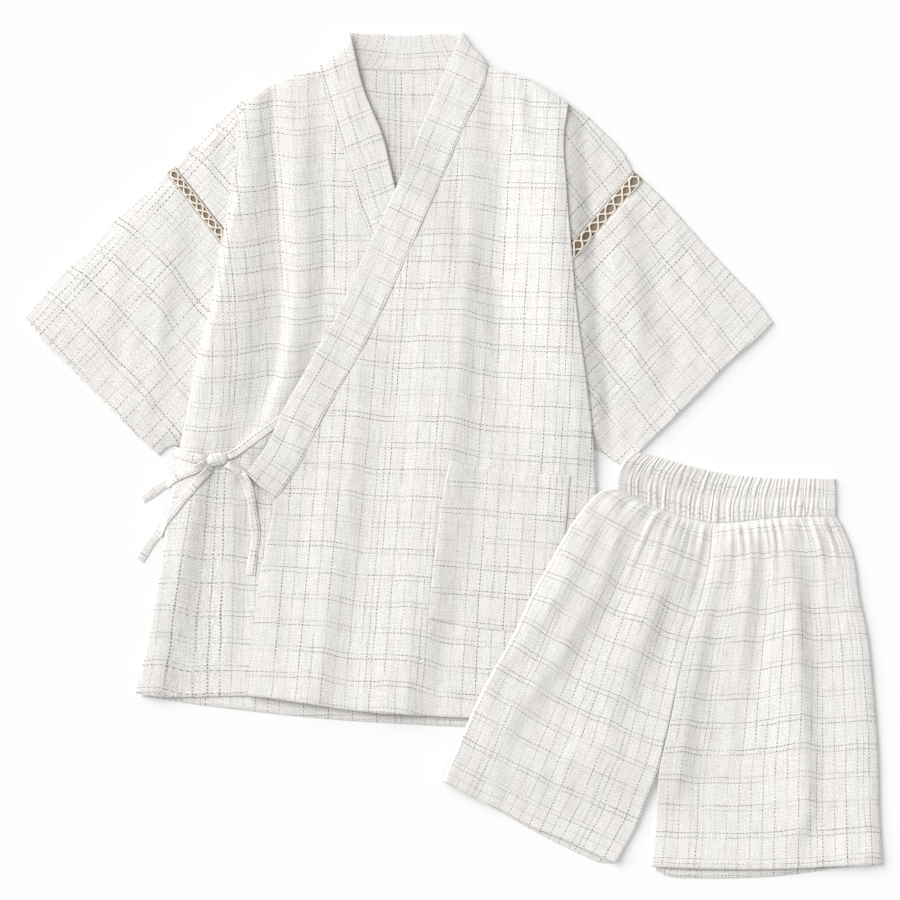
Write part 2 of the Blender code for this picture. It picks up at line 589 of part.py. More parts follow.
def make_waistband(bed):
    """Gathered elastic waistband: a flat tube whose front rises in a ridge for each gather."""
    across = stations([2 * GATHERS])
    across = across + sum(shift * np.sin(2 * math.pi * waves * across) for waves, shift in GATHER_DRIFT)
    plan = patch(WAISTBAND, across, stations([4]))
    plan = drawn_in(plan, ("bottom",), SEAM / 2)
    ridge = np.arange(len(across)) % 2
    waves, share = GATHER_SWELL
    uneven = 1 - share + share * np.sin(2 * math.pi * waves * across + 1)
    edge = np.clip(GATHERS / 4 * np.minimum(across, 1 - across), 0, 1)
    under = [2, *range(6, 2 * GATHERS - 2, 6), 2 * GATHERS - 2]
    rise = (GATHER_HEIGHT * ridge * uneven * edge)[None, :]
    skins, front = tube(bed, plan, BAND, rise, under, SHORTS_REACH)
    tube_cloth("waistband", skins, front)
    return [(front, 0.0)]


def make_leg_fronts(bed):
    """Front panels of the shorts: each has its centre seam on the side of its name, and a loose edge."""
    layers = []
    for side, loose in (("right", "left"), ("left", "right")):
        outline = LEG_FRONTS[side]
        corner = corner_place(getattr(outline, side))
        layers.append(sheet(bed, f"shorts_front_{side}", outline, stations([22]),
                            stations([8, 6], [corner]), ("top", side), (loose,), LEG_FOLDS[side],
                            reach=SHORTS_REACH))
    return layers


def make_braid(bed, name, tape):
    """Openwork braid on a tape: crossing zigzags between borders, cut through in diamonds and triangles."""
    upper, lower = np.array(tape.left, float), np.array(tape.right, float)
    start, end = (upper[0] + lower[0]) / 2, (upper[1] + lower[1]) / 2
    direction = (end - start) / np.linalg.norm(end - start)
    across = np.array([-direction[1], direction[0]])
    width = abs(np.dot(upper[0] - lower[0], across))
    start = start + BRAID_BORDER * direction
    length = np.linalg.norm(end - start) - BRAID_BORDER
    pitch = length / BRAID_DIAMONDS
    inner = width / 2 - BRAID_BORDER
    outline = [(0, -width / 2), (length, -width / 2), (length, width / 2), (0, width / 2)]
    holes = []
    for number in range(BRAID_DIAMONDS):
        middle = (number + 0.5) * pitch
        along, tall = pitch / 2 - BRAID_THREAD, inner - BRAID_THREAD / 3
        holes.append([(middle - along, 0), (middle, -tall), (middle + along, 0), (middle, tall)])
    for number in range(1, BRAID_DIAMONDS):
        middle = number * pitch
        along, low = pitch / 2 - 2 * BRAID_THREAD, BRAID_THREAD
        for sign in (-1, 1):
            holes.append([(middle, sign * low), (middle + along, sign * inner),
                          (middle - along, sign * inner)])
    flat = bpy.data.curves.new(name, "CURVE")
    flat.dimensions = "2D"
    flat.fill_mode = "BOTH"
    flat.extrude = BRAID_WALL / 2 * MM
    for loop in [outline, *holes]:
        spline = flat.splines.new("POLY")
        spline.points.add(len(loop) - 1)
        spline.use_cyclic_u = True
        for point, (x, y) in zip(spline.points, loop):
            point.co = (x * MM, y * MM, 0, 1)
    carrier = bpy.data.objects.new(name + "_outline", flat)
    bpy.context.scene.collection.objects.link(carrier)
    evaluated = carrier.evaluated_get(bpy.context.evaluated_depsgraph_get())
    mesh = bpy.data.meshes.new_from_object(evaluated)
    bpy.data.objects.remove(carrier)
    mesh.materials.clear()
    shape = bmesh.new()
    shape.from_mesh(mesh)
    bmesh.ops.remove_doubles(shape, verts=shape.verts, dist=1e-6)
    bed_height = bed.over(np.array([start, end]), BED_CELL).max() + SEAM + BRAID_WALL / 2
    for vertex in shape.verts:
        x, y = vertex.co.x / MM, vertex.co.y / MM
        plan = start + x * direction + y * across
        vertex.co = (plan[0] * MM, plan[1] * MM, vertex.co.z + bed_height * MM)
    if shape.calc_volume(signed=True) < 0:
        bmesh.ops.reverse_faces(shape, faces=shape.faces)
    shape.to_mesh(mesh)
    shape.free()
    collection_object(name, mesh, "braid_thread")
    corners = np.array([[upper[0], upper[1]], [lower[0], lower[1]]])
    flat_top = np.full((2, 2, 1), bed_height + BRAID_WALL / 2)
    return np.concatenate([corners, flat_top], axis=-1), 0.0


def knot_shape(ball):
    """Plan of the knot, a bean with its wraps, and its height off the front, for points of a unit ball."""
    x, y, z = ball.T
    wrap = 1 - WRAP_DEPTH * np.cos(math.pi * KNOT_WRAPS * x) ** 2 * (1 - x**2)
    turn = np.array([[math.cos(KNOT_TURN), -math.sin(KNOT_TURN)],
                     [math.sin(KNOT_TURN), math.cos(KNOT_TURN)]])
    plan = np.stack([x * KNOT_SIZE[0], y * wrap * (1 + 0.3 * x**2) * KNOT_SIZE[1]], axis=-1) / 2
    height = np.maximum(z * wrap, -KNOT_FLAT) + KNOT_FLAT
    return plan @ turn.T + np.array(KNOT_CENTRE), height / (1 + KNOT_FLAT) * KNOT_SIZE[2]


def make_knot(bed):
    """The tied knot, lying on the front."""
    shape = bmesh.new()
    bmesh.ops.create_uvsphere(shape, u_segments=20, v_segments=12, radius=1.0)
    plan, height = knot_shape(np.array([vertex.co for vertex in shape.verts]))
    height = height + bed.over(plan, 0) + AIR
    for vertex, place, rise in zip(shape.verts, plan, height):
        vertex.co = (place[0] * MM, place[1] * MM, rise * MM)
    mesh = bpy.data.meshes.new("tie_knot")
    shape.to_mesh(mesh)
    shape.free()
    mesh.shade_smooth()
    collection_object("tie_knot", mesh, "check_cloth")


def knot_root(toward):
    """Where a tie that leaves the knot towards a point begins, clear of the knot's widest line."""
    angle = np.linspace(0, 2 * math.pi, 60)
    rim_line = knot_shape(np.stack([np.cos(angle), np.sin(angle), 0 * angle], axis=-1))[0]
    away = np.array(toward, float) - KNOT_CENTRE
    away /= np.linalg.norm(away)
    reach = ((rim_line - KNOT_CENTRE) @ away).max()
    return tuple(np.array(KNOT_CENTRE) + (reach + SEAM) * away)


def ribbon_plan(points, count):
    """Plan of a tie: three points across at each station, narrower at its root by the knot."""
    places = stations([count])
    middle = curve(points, places)
    heading = np.gradient(middle, axis=0)
    heading /= np.linalg.norm(heading, axis=-1, keepdims=True)
    beside = np.stack([-heading[:, 1], heading[:, 0]], axis=-1)
    run = np.concatenate([[0], np.cumsum(np.linalg.norm(np.diff(middle, axis=0), axis=-1))])
    width = np.interp(run, (0, TIE_ROOT_LENGTH), (TIE_ROOT_WIDTH, TIE_WIDTH))
    return np.stack([middle + beside * width[:, None] * share for share in (0.5, 0, -0.5)], axis=1)


def make_ties(bed):
    """The two sewn-on ties and the three free tails, each laid over the one before."""
    for name, points in TIES.items():
        line = (knot_root(points[0]), *points)
        length = np.linalg.norm(np.diff(np.array(line, float), axis=0), axis=-1).sum()
        surface = laid(bed, ribbon_plan(line, max(6, int(length / TIE_STEP))), reach=TIE_REACH)
        collection_object(name, grid_mesh(name, surface, BAND), "check_cloth")
        bed.add(surface, BAND)


def settle(bed, layers):
    """Adds a group of finished pieces to the pile."""
    for surface, thickness in layers:
        bed.add(surface, thickness)


def centre_over_origin():
    """Moves every mesh so that the middle of the whole set's outline is over the origin."""
    meshes = [thing.data for thing in bpy.data.collections["jinbei_set"].objects]
    places = np.array([vertex.co[:2] for mesh in meshes for vertex in mesh.vertices])
    middle = (places.min(axis=0) + places.max(axis=0)) / 2
    for mesh in meshes:
        mesh.transform(Matrix.Translation((-middle[0], -middle[1], 0)))


def main():
    """Lays the jacket from the floor up, then the shorts over its corner, then braids and ties."""
    for thing in list(bpy.data.objects):
        bpy.data.objects.remove(thing)
    bpy.context.scene.collection.children.link(bpy.data.collections.new("jinbei_set"))
    bed = Bed()
    settle(bed, make_sleeves(bed) + make_back(bed))
    braids = [make_braid(bed, f"braid_{side}", TAPES[side]) for side in ("right", "left")]
    settle(bed, braids)
    settle(bed, make_right_front(bed))
    settle(bed, make_left_front(bed))
    settle(bed, [sheet(bed, "pocket", POCKET, stations([9]), stations([10]), (), reach=TIE_REACH)])
    make_knot(bed)
    make_ties(bed)
    leg_backs = make_leg_backs(bed)
    waistband = make_waistband(bed)
    settle(bed, leg_backs)
    settle(bed, make_leg_fronts(bed) + waistband)
    centre_over_origin()


main()
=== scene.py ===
"""Dresses the jinbei set: checked slub cloth, soft folds, gathered waistband, openwork, stitching and ties."""
import logging
import math
from dataclasses import dataclass, field
from enum import Enum
from typing import NamedTuple, Sequence

import bmesh
import bpy
import numpy as np
from bpy.types import Material, Node, NodeSocket, Object
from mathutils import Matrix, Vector


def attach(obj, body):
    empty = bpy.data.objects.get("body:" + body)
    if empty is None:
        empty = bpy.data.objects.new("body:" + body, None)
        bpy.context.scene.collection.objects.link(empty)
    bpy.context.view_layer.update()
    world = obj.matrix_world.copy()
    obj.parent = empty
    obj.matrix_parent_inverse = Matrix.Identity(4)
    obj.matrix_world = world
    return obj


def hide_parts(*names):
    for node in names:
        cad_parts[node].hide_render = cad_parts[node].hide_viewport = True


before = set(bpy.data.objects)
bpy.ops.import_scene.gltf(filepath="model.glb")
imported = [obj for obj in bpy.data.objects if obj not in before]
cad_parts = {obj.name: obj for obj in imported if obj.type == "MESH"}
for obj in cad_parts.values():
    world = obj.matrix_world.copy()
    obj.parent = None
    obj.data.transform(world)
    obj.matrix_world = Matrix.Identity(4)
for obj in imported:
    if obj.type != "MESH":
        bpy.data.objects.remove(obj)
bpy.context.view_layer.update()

LOG = logging.getLogger("jinbei_set")
MM = 0.001
MIDDLE = np.array([1.043, -0.344])   # moves the tables' origin, in millimetres, to the middle of the set

# Sizes that the pieces share, in millimetres
CLOTH = 1.2            # wall of one layer of cloth
BAND = 1.6             # wall of a folded band
AIR = 0.5              # clearance between layers
SEAM = 0.2             # clearance at a seam
NARROWED = 1.3         # how much of a tape its sleeve's cloth takes on each side
ROUND = 0.8            # width of the rounding along an edge
RIM = 1.2              # width over which a tight left side comes down
CAVITY = 0.5           # room inside a flat tube
EASING = 9.0           # width over which folds fade towards a tight side
HEM = 28.0             # height of the stretch over which a hem is lifted
REACH = 8.0            # how gently a panel eases onto what it lies on
FRONT_REACH = 26.0     # the same for the over front, which crosses the under one
SHORTS_REACH = 36.0    # the same for the shorts, which cross the jacket's corner
SMALL_REACH = 4.0      # the same for small pieces and tight sides

# Shares and gains
FOLD_GAIN = 1.15       # how much taller the folds are than in the solids
SLACK = 2.6            # how much wider a fold is on its slack side, towards smaller x
EASED = 0.6            # share of a fold's height left at a tight side
FOLD_WALL = 1.4        # inner side of a tube's folded edge, in walls
SECOND_RIM = 2.2       # place of a tube's second line from its fold, in places of the first
PRESSED = 0.6          # share of the clearance kept where a piece is pressed onto the pile
RISE_OF_WEFT = 1.3     # how far a fold's crest draws the wefts up, in heights of the fold

Point = tuple[float, float]
Line = Sequence[Point]
Colour = tuple[float, float, float, float]
Array = np.ndarray
Value = float | NodeSocket                 # what feeds a node's socket
Mesh = tuple[Array, list[list[int]]]       # points in millimetres, and the corners of each face


class Slot(Enum):
    """Material slots of the record."""
    CLOTH = "check_cloth"
    TAPE = "braid_tape"
    THREAD = "braid_thread"


class Held(Enum):
    """How a sheet of cloth is held."""
    LAID = "laid"
    GATHERED = "gathered"
    FOLDED = "folded"


class Outline(NamedTuple):
    """The four edges of a panel, in millimetres."""
    top: Line
    bottom: Line
    left: Line
    right: Line


class Plan(NamedTuple):
    """Grid of a panel: its points in millimetres, and the places from 0 to 1 of its columns and its rows."""
    points: Array
    across: Array
    down: Array


class Fold(NamedTuple):
    """A soft fold: three points of its crest, its half width, and its height at those points."""
    x0: float
    y0: float
    x1: float
    y1: float
    x2: float
    y2: float
    width: float
    start: float
    middle: float
    end: float


class Wave(NamedTuple):
    """A crest or valley line down a panel: where it crosses each of the wave rows, and its height there."""
    places: tuple[float, ...]
    heights: tuple[float, ...]


class Edge(NamedTuple):
    """How a wall's upper edge is rounded: how far it drops, in walls, and draws in, in steps of the grid."""
    drop: float
    inset: float


LOOSE_EDGE = Edge(0.45, 0.2)
SEWN_EDGE = Edge(0.06, 0.02)


# ---------------- surfaces


def without_repeats(points: Line) -> tuple[Array, Array, Array]:
    """Reads a table of points in which a corner is written twice.

    Args:
        points: the table.

    Returns:
        The points, each once; their places from 0 to 1 along the chords; the rows of the corners.
    """
    line = np.array(points, float)
    steps = np.hypot(*np.diff(line, axis=0).T)
    repeats = np.flatnonzero(steps == 0)
    line = line[np.concatenate([[True], steps > 0])]
    steps = steps[steps > 0]
    return line, np.concatenate([[0.0], np.cumsum(steps)]) / steps.sum(), repeats - np.arange(len(repeats))


def corner_place(points: Line) -> float:
    """Where the table's first corner lies, from 0 to 1."""
    _, places, corners = without_repeats(points)
    return float(places[corners[0]])


def length_of(points: Line) -> float:
    """Length of a table's chords."""
    return float(np.hypot(*np.diff(np.array(points, float), axis=0).T).sum())


def curve(points: Line, at: Array) -> Array:
    """Smooth line through a table: a cubic between each two points, with the mean slope at each point.

    Args:
        points: the table, a corner written twice.
        at: places from 0 to 1.

    Returns:
        Points of the line, one for each place.
    """
    line, places, corners = without_repeats(points)
    span = np.diff(places)[:, None]
    slope = np.diff(line, axis=0) / span
    middle = (slope[:-1] * span[1:] + slope[1:] * span[:-1]) / (span[1:] + span[:-1])
    arriving = np.vstack([slope[:1], middle, slope[-1:]])
    leaving = arriving.copy()
    arriving[corners] = slope[corners - 1]
    leaving[corners] = slope[corners]
    row = np.clip(np.searchsorted(places, at, side="right") - 1, 0, len(span) - 1)
    length = span[row]
    t = (at[:, None] - places[row][:, None]) / length
    return (line[row] * (2 * t**3 - 3 * t**2 + 1) + line[row + 1] * (3 * t**2 - 2 * t**3)
            + length * leaving[row] * (t**3 - 2 * t**2 + t) + length * arriving[row + 1] * (t**3 - t**2))


def spread(length: float, step: float, breaks: Sequence[float] = (), rim: float = ROUND) -> Array:
    """Places along an edge in even steps between breaks, with one more close to each end.

    Args:
        length: the edge's length.
        step: about how far apart the places are.
        breaks: places that have to be among them.
        rim: how close to the ends the extra places lie.

    Returns:
        The places from 0 to 1, rising.
    """
    ends = (0.0, *breaks, 1.0)
    runs = [np.linspace(start, end, max(2, round((end - start) * length / step)), endpoint=False)
            for start, end in zip(ends[:-1], ends[1:])]
    return np.unique(np.concatenate([*runs, [rim / length, 1 - rim / length, 1.0]]))


def patch(outline: Outline, across: Array, down: Array) -> Array:
    """Plan of a panel: its sides blended plus its ends blended, less the blend of its corners.

    Args:
        outline: the four edges.
        across: places from left to right.
        down: places from top to bottom.

    Returns:
        Points in rows from top to bottom.
    """
    top, bottom = curve(outline.top, across), curve(outline.bottom, across)
    left, right = curve(outline.left, down), curve(outline.right, down)
    u, v = across[None, :, None], down[:, None, None]
    corners = (1 - v) * ((1 - u) * top[0] + u * top[-1]) + v * ((1 - u) * bottom[0] + u * bottom[-1])
    return (1 - u) * left[:, None] + u * right[:, None] + (1 - v) * top[None] + v * bottom[None] - corners


def raised(plan: Array, height: Array) -> Array:
    """Points of a plan at their heights."""
    return np.concatenate([plan, height[..., None]], axis=-1)


def lifted(surface: Array, wall: float | Array) -> Array:
    """A surface moved up by a wall."""
    return raised(surface[..., :2], surface[..., 2] + wall)


def headings(path: Array) -> Array:
    """Directions of unit length along a path."""
    heading = np.gradient(path, axis=0)
    return heading / np.linalg.norm(heading, axis=-1, keepdims=True)


def leftward(heading: Array) -> Array:
    """Directions in the plan to the left of the headings."""
    return np.stack([-heading[:, 1], heading[:, 0]], axis=-1)


def lines_from(plan: Array, side: str) -> Array:
    """The same array as lines of points, the given side's line first."""
    lines = plan if side in ("top", "bottom") else np.swapaxes(plan, 0, 1)
    return lines if side in ("top", "left") else lines[::-1]


def inward(lines: Array) -> Array:
    """Directions of unit length from the first line to the third, which keeps clear of close lines."""
    away = lines[2] - lines[0]
    return away / np.linalg.norm(away, axis=-1, keepdims=True)


def drawn_in(plan: Array, sides: Sequence[str], distance: float) -> Array:
    """The plan with some of its sides moved inwards.

    Args:
        plan: points in millimetres.
        sides: the sides that move.
        distance: how far they move.

    Returns:
        The moved points.
    """
    result = plan.copy()
    for side in sides:
        lines = lines_from(result, side)
        lines[0] += distance * inward(lines)
    return result


def edge_distance(plan: Array, side: str) -> Array:
    """Distance of each point from a side, summed along the grid's own lines.

    Args:
        plan: points in millimetres.
        side: the side.

    Returns:
        Distances in millimetres.
    """
    distance = np.zeros(plan.shape[:-1])
    steps = np.linalg.norm(np.diff(lines_from(plan, side), axis=0), axis=-1)
    lines_from(distance[..., None], side)[1:, :, 0] = np.cumsum(steps, axis=0)
    return distance


def pushed_in(plan: Array, side: str, distance: float, width: float) -> Array:
    """The plan with a side moved inwards, the lines near it moving less and less.

    Args:
        plan: points in millimetres.
        side: the side that moves.
        distance: how far it moves.
        width: where the lines no longer move.

    Returns:
        The moved points.
    """
    result = plan.copy()
    lines = lines_from(result, side)
    share = 1 - np.clip(lines_from(edge_distance(plan, side)[..., None], side) / width, 0, 1)
    lines += distance * inward(lines)[None] * share
    return result


def line_inside(surface: Array, side: str, distance: float) -> Array:
    """Line of points of a surface at a distance from a side, straight between the grid's lines.

    Args:
        surface: points in millimetres.
        side: the side.
        distance: how far inside it the line runs.

    Returns:
        The line's points.
    """
    lines = lines_from(surface, side)
    place = lines_from(edge_distance(surface[..., :2], side)[..., None], side)[..., 0]
    row = np.clip((place < distance).sum(axis=0), 1, len(lines) - 1)
    column = np.arange(lines.shape[1])
    low, high = place[row - 1, column], place[row, column]
    share = ((distance - low) / (high - low))[:, None]
    return lines[row - 1, column] * (1 - share) + lines[row, column] * share


def smooth(share: Array) -> Array:
    """Smooth step from 0 to 1 of a value, held outside that range."""
    share = np.clip(share, 0, 1)
    return share * share * (3 - 2 * share)


def off_edge(plan: Array, side: str, width: float) -> Array:
    """Smooth step from 0 on a side to 1 at a width from it."""
    return smooth(edge_distance(plan, side) / width)


def from_chord(plan: Array, start: Array, end: Array) -> tuple[Array, Array]:
    """Nearest point of a straight chord to each point of a plan.

    Args:
        plan: points in millimetres.
        start: the chord's start.
        end: its end.

    Returns:
        The nearest point's share of the chord, and the way from it to the plan's point.
    """
    step = end - start
    share = np.clip((plan - start) @ step / (step @ step), 0, 1)
    return share, plan - start - share[..., None] * step


def distance_to(plan: Array, points: Line) -> Array:
    """Distance of each point of a plan from a table's chords."""
    line = without_repeats(points)[0]
    return np.min([np.linalg.norm(from_chord(plan, start, end)[1], axis=-1)
                   for start, end in zip(line[:-1], line[1:])], axis=0)


def fold_rise(plan: Array, folds: Sequence[Fold], chords: int = 12) -> Array:
    """Height of the folds: for each, the crest's height times a bell of the distance, wider on the slack side.

    Args:
        plan: points in millimetres.
        folds: the table of folds.
        chords: straight parts that a crest's parabola is cut into.

    Returns:
        Heights in millimetres, one for each point.
    """
    rise = np.zeros(plan.shape[:-1])
    t = np.linspace(0, 1, chords + 1)[:, None]
    weights = np.hstack([(1 - t) * (1 - 2 * t), 4 * t * (1 - t), t * (2 * t - 1)])
    for fold in folds:
        crest = weights @ np.array([(fold.x0, fold.y0), (fold.x1, fold.y1), (fold.x2, fold.y2)])
        heights = np.interp(t[:, 0], (0, 0.5, 1), (fold.start, fold.middle, fold.end)) * FOLD_GAIN
        best = np.full(plan.shape[:-1], np.inf)
        height, slack = np.zeros((2, *plan.shape[:-1]))
        for start, end, low, high in zip(crest[:-1], crest[1:], heights[:-1], heights[1:]):
            share, offset = from_chord(plan, start, end)
            distance = np.linalg.norm(offset, axis=-1)
            nearer = distance < best
            best = np.where(nearer, distance, best)
            height = np.where(nearer, low + share * (high - low), height)
            slack = np.where(nearer, -offset[..., 0] / (distance + 1e-6), slack)
        width = fold.width * (1 + (SLACK - 1) * smooth(slack + 0.5))
        rise += height * np.exp(-(best / width) ** 2)
    return rise


def wave_rise(plan: Array, waves: Sequence[Wave]) -> Array:
    """Height of cloth that swings from each line of a table to the next, steepest just left of a valley.

    Args:
        plan: points in millimetres.
        waves: crest and valley lines from left to right.

    Returns:
        Heights in millimetres, one for each point.
    """
    if not waves:
        return np.zeros(plan.shape[:-1])
    x, y = plan[..., 0], plan[..., 1]
    places = [np.interp(y, WAVE_ROWS[::-1], wave.places[::-1]) for wave in waves]
    heights = [np.interp(y, WAVE_ROWS[::-1], wave.heights[::-1]) for wave in waves]
    total = heights[0]
    for start, end, low, high in zip(places[:-1], places[1:], heights[:-1], heights[1:]):
        share = np.clip((x - start) / (end - start), 0, 1)
        rising = 0.5 * share + 0.5 * smooth(share**0.9)
        total = total + (high - low) * np.where(high < low, smooth(share**1.4), rising)
    return total


def ripple(plan: Array, across: float, along: float, seed: int, waves: int = 8) -> Array:
    """Soft unevenness from -1 to 1: the mean of seeded waves, longer along the grain than across it.

    Args:
        plan: points in millimetres.
        across: wavelength across the grain.
        along: wavelength along the grain.
        seed: seed of the waves' directions.
        waves: how many there are.

    Returns:
        One value for each point.
    """
    rng = np.random.default_rng(seed)
    x, y = plan[..., 0], plan[..., 1]
    total = np.zeros(plan.shape[:-1])
    for _ in range(waves):
        size, lean, phase = rng.uniform(0.7, 1.5), rng.uniform(-1, 1), rng.uniform(0, 2 * math.pi)
        bend = 0.6 * np.sin(2 * math.pi * y / (along * rng.uniform(1.2, 2.4)) + phase * 3)
        total += np.sin(2 * math.pi * (x / (across * size) + lean * y / along) + bend + phase)
    return total / waves * 1.6


def finer(grid: Array, parts: int) -> Array:
    """A grid of values with each cell cut up, straight between its points.

    Args:
        grid: the values.
        parts: parts that a cell is cut into each way.

    Returns:
        The finer grid.
    """
    for axis in (0, 1):
        count = grid.shape[axis]
        place = np.linspace(0, count - 1, (count - 1) * parts + 1)
        row = np.minimum(place.astype(int), count - 2)
        share = (place - row).reshape([-1 if axis == other else 1 for other in range(3)])
        grid = np.take(grid, row, axis) * (1 - share) + np.take(grid, row + 1, axis) * share
    return grid


class Pile:
    """Height of the pile laid so far, on a square map with the floor at zero."""
    side = 1040.0
    cell = 2.0

    def __init__(self) -> None:
        """Starts with the bare floor."""
        count = int(self.side / self.cell) + 1
        self.height = np.zeros((count, count))

    def add(self, upper: Array) -> None:
        """Raises the map to a piece's upper surface.

        Args:
            upper: grid of points in millimetres.
        """
        step = max(np.abs(np.diff(upper[..., :2], axis=axis)).max() for axis in (0, 1))
        fine = finer(upper, int(math.ceil(2 * step / self.cell)))
        column, row = np.rint((fine[..., :2] + self.side / 2) / self.cell).astype(int).reshape(-1, 2).T
        np.maximum.at(self.height, (row, column), fine[..., 2].ravel())

    def over(self, plan: Array, reach: float) -> Array:
        """Height that clears the pile: its greatest nearby height, averaged over the reach.

        Args:
            plan: points in millimetres.
            reach: how far a step in the pile is eased on each side.

        Returns:
            Heights in millimetres.
        """
        cells = int(round(reach / self.cell))
        eased = self.height
        for axis in (0, 1):
            eased = np.max([np.roll(eased, shift, axis) for shift in range(-cells - 1, cells + 2)], axis=0)
        half = cells // 2 if cells > 1 else cells
        for axis in (0, 1, 0, 1):
            eased = np.mean([np.roll(eased, shift, axis) for shift in range(-half, half + 1)], axis=0)
        place = (plan + self.side / 2) / self.cell
        corner = np.floor(place).astype(int)
        share = place - corner
        column, row = corner[..., 0], corner[..., 1]
        near = eased[row, column] * (1 - share[..., 0]) + eased[row, column + 1] * share[..., 0]
        far = eased[row + 1, column] * (1 - share[..., 0]) + eased[row + 1, column + 1] * share[..., 0]
        return near * (1 - share[..., 1]) + far * share[..., 1]

    def cleared(self, plan: Array, height: Array) -> Array:
        """The heights, raised where a piece would cut into the pile."""
        ground = self.over(plan, 0)
        return np.maximum(height, ground + np.minimum(AIR, ground) * PRESSED)


# ---------------- finishes


class Graph:
    """Adds nodes to a material one after the other."""

    def __init__(self, name: str) -> None:
        """Starts a material of that name, with a shader."""
        self.material = bpy.data.materials.new(name)
        self.material.use_nodes = True
        self.tree = self.material.node_tree
        self.shader = self.tree.nodes["Principled BSDF"]

    def feed(self, socket: NodeSocket, value: Value | Colour) -> None:
        """Links a socket from another one, or sets its plain value.

        Args:
            socket: the socket.
            value: where it is linked from, or its value.
        """
        if isinstance(value, NodeSocket):
            self.tree.links.new(value, socket)
        else:
            socket.default_value = value

    def node(self, kind: str, inputs: dict[str | int, Value | Colour] | None = None,
             **settings: str) -> Node:
        """Adds a node.

        Args:
            kind: the node's type name.
            inputs: what feeds its sockets.
            settings: its own properties.

        Returns:
            The node.
        """
        node = self.tree.nodes.new(kind)
        for key, value in settings.items():
            setattr(node, key, value)
        for key, value in (inputs or {}).items():
            self.feed(node.inputs[key], value)
        return node

    def calc(self, operation: str, *values: Value) -> NodeSocket:
        """A Math node's result."""
        return self.node("ShaderNodeMath", dict(enumerate(values)), operation=operation).outputs[0]

    def times(self, first: Value, second: Value) -> NodeSocket:
        """Two values multiplied."""
        return self.calc("MULTIPLY", first, second)

    def ramp(self, value: Value, low: float, high: float, out_low: float = 0.0,
             out_high: float = 1.0) -> NodeSocket:
        """A smooth step of a value from one range to another."""
        limits = {"Value": value, "From Min": low, "From Max": high, "To Min": out_low, "To Max": out_high}
        return self.node("ShaderNodeMapRange", limits, interpolation_type="SMOOTHSTEP").outputs["Result"]

    def noise(self, x: Value, y: Value, detail: float = 1.0, z: float = 0.0) -> NodeSocket:
        """Value of a noise texture at a point."""
        place = self.node("ShaderNodeCombineXYZ", {0: x, 1: y, 2: z}).outputs[0]
        return self.node("ShaderNodeTexNoise", {"Vector": place, "Scale": 1.0, "Detail": detail}).outputs["Fac"]

    def blend(self, share: Value, first: Value | Colour, second: Value | Colour) -> NodeSocket:
        """Mixes two colours by a share."""
        return self.node("ShaderNodeMix", {0: share, 6: first, 7: second}, data_type="RGBA").outputs[2]

    def bump(self, height: Value, strength: float, depth: float) -> None:
        """Roughens the surface by a height, its depth in metres."""
        node = self.node("ShaderNodeBump", {"Height": height, "Strength": strength, "Distance": depth})
        self.feed(self.shader.inputs["Normal"], node.outputs[0])

    def finish(self, colour: Value | Colour, roughness: float, sheen: float = 0.0) -> Material:
        """Feeds the shader's colour and sets its plain values.

        Args:
            colour: the surface's colour.
            roughness: how dull it is.
            sheen: strength of its soft sheen.

        Returns:
            The material.
        """
        for name, value in (("Base Color", colour), ("Roughness", roughness), ("Sheen Weight", sheen),
                            ("Sheen Roughness", 0.5), ("Specular IOR Level", 0.2)):
            self.feed(self.shader.inputs[name], value)
        return self.material


class Stripe(NamedTuple):
    """One family of parallel threads in the check."""
    shift: float  # how far the family is moved across
    half_gap: float  # half the gap of a doubled thread, 0 for single threads
    between: float  # strength of a thread between its dark dots
    rare: float  # share of the threads that stay faint
    faintest: float  # strength of the faintest thread
    strength: float  # strength of the whole family
    seed: float  # shifts the random values


class Slub(NamedTuple):
    """One layer of thicker, darker threads: a smooth step of a noise stretched along the threads."""
    u_scale: float  # grain of the noise across the cloth
    v_scale: float  # grain of the noise down the cloth
    low: float  # where the step begins
    high: float  # where it ends
    strength: float  # share of the darker colour past its end
    layer: float  # keeps the layers' noises apart


WARPS = (Stripe(0.0, 0.0, 0.14, 0.05, 0.4, 1.0, 11.0), Stripe(14.0, 0.0, 0.14, 0.3, 0.4, 0.8, 29.0),
         Stripe(6.5, 0.0, 0.14, 0.66, 0.0, 0.85, 37.0))
WEFTS = (Stripe(0.0, 2.8, 0.26, 0.08, 0.4, 0.85, 23.0), Stripe(15.5, 0.0, 0.26, 0.6, 0.1, 0.5, 53.0))
SLUBS = (Slub(0.8, 0.045, 0.44, 0.68, 0.36, 0.0), Slub(0.06, 0.8, 0.46, 0.7, 0.26, 0.0),
         Slub(0.95, 0.7, 0.42, 0.6, 0.62, 3.0))


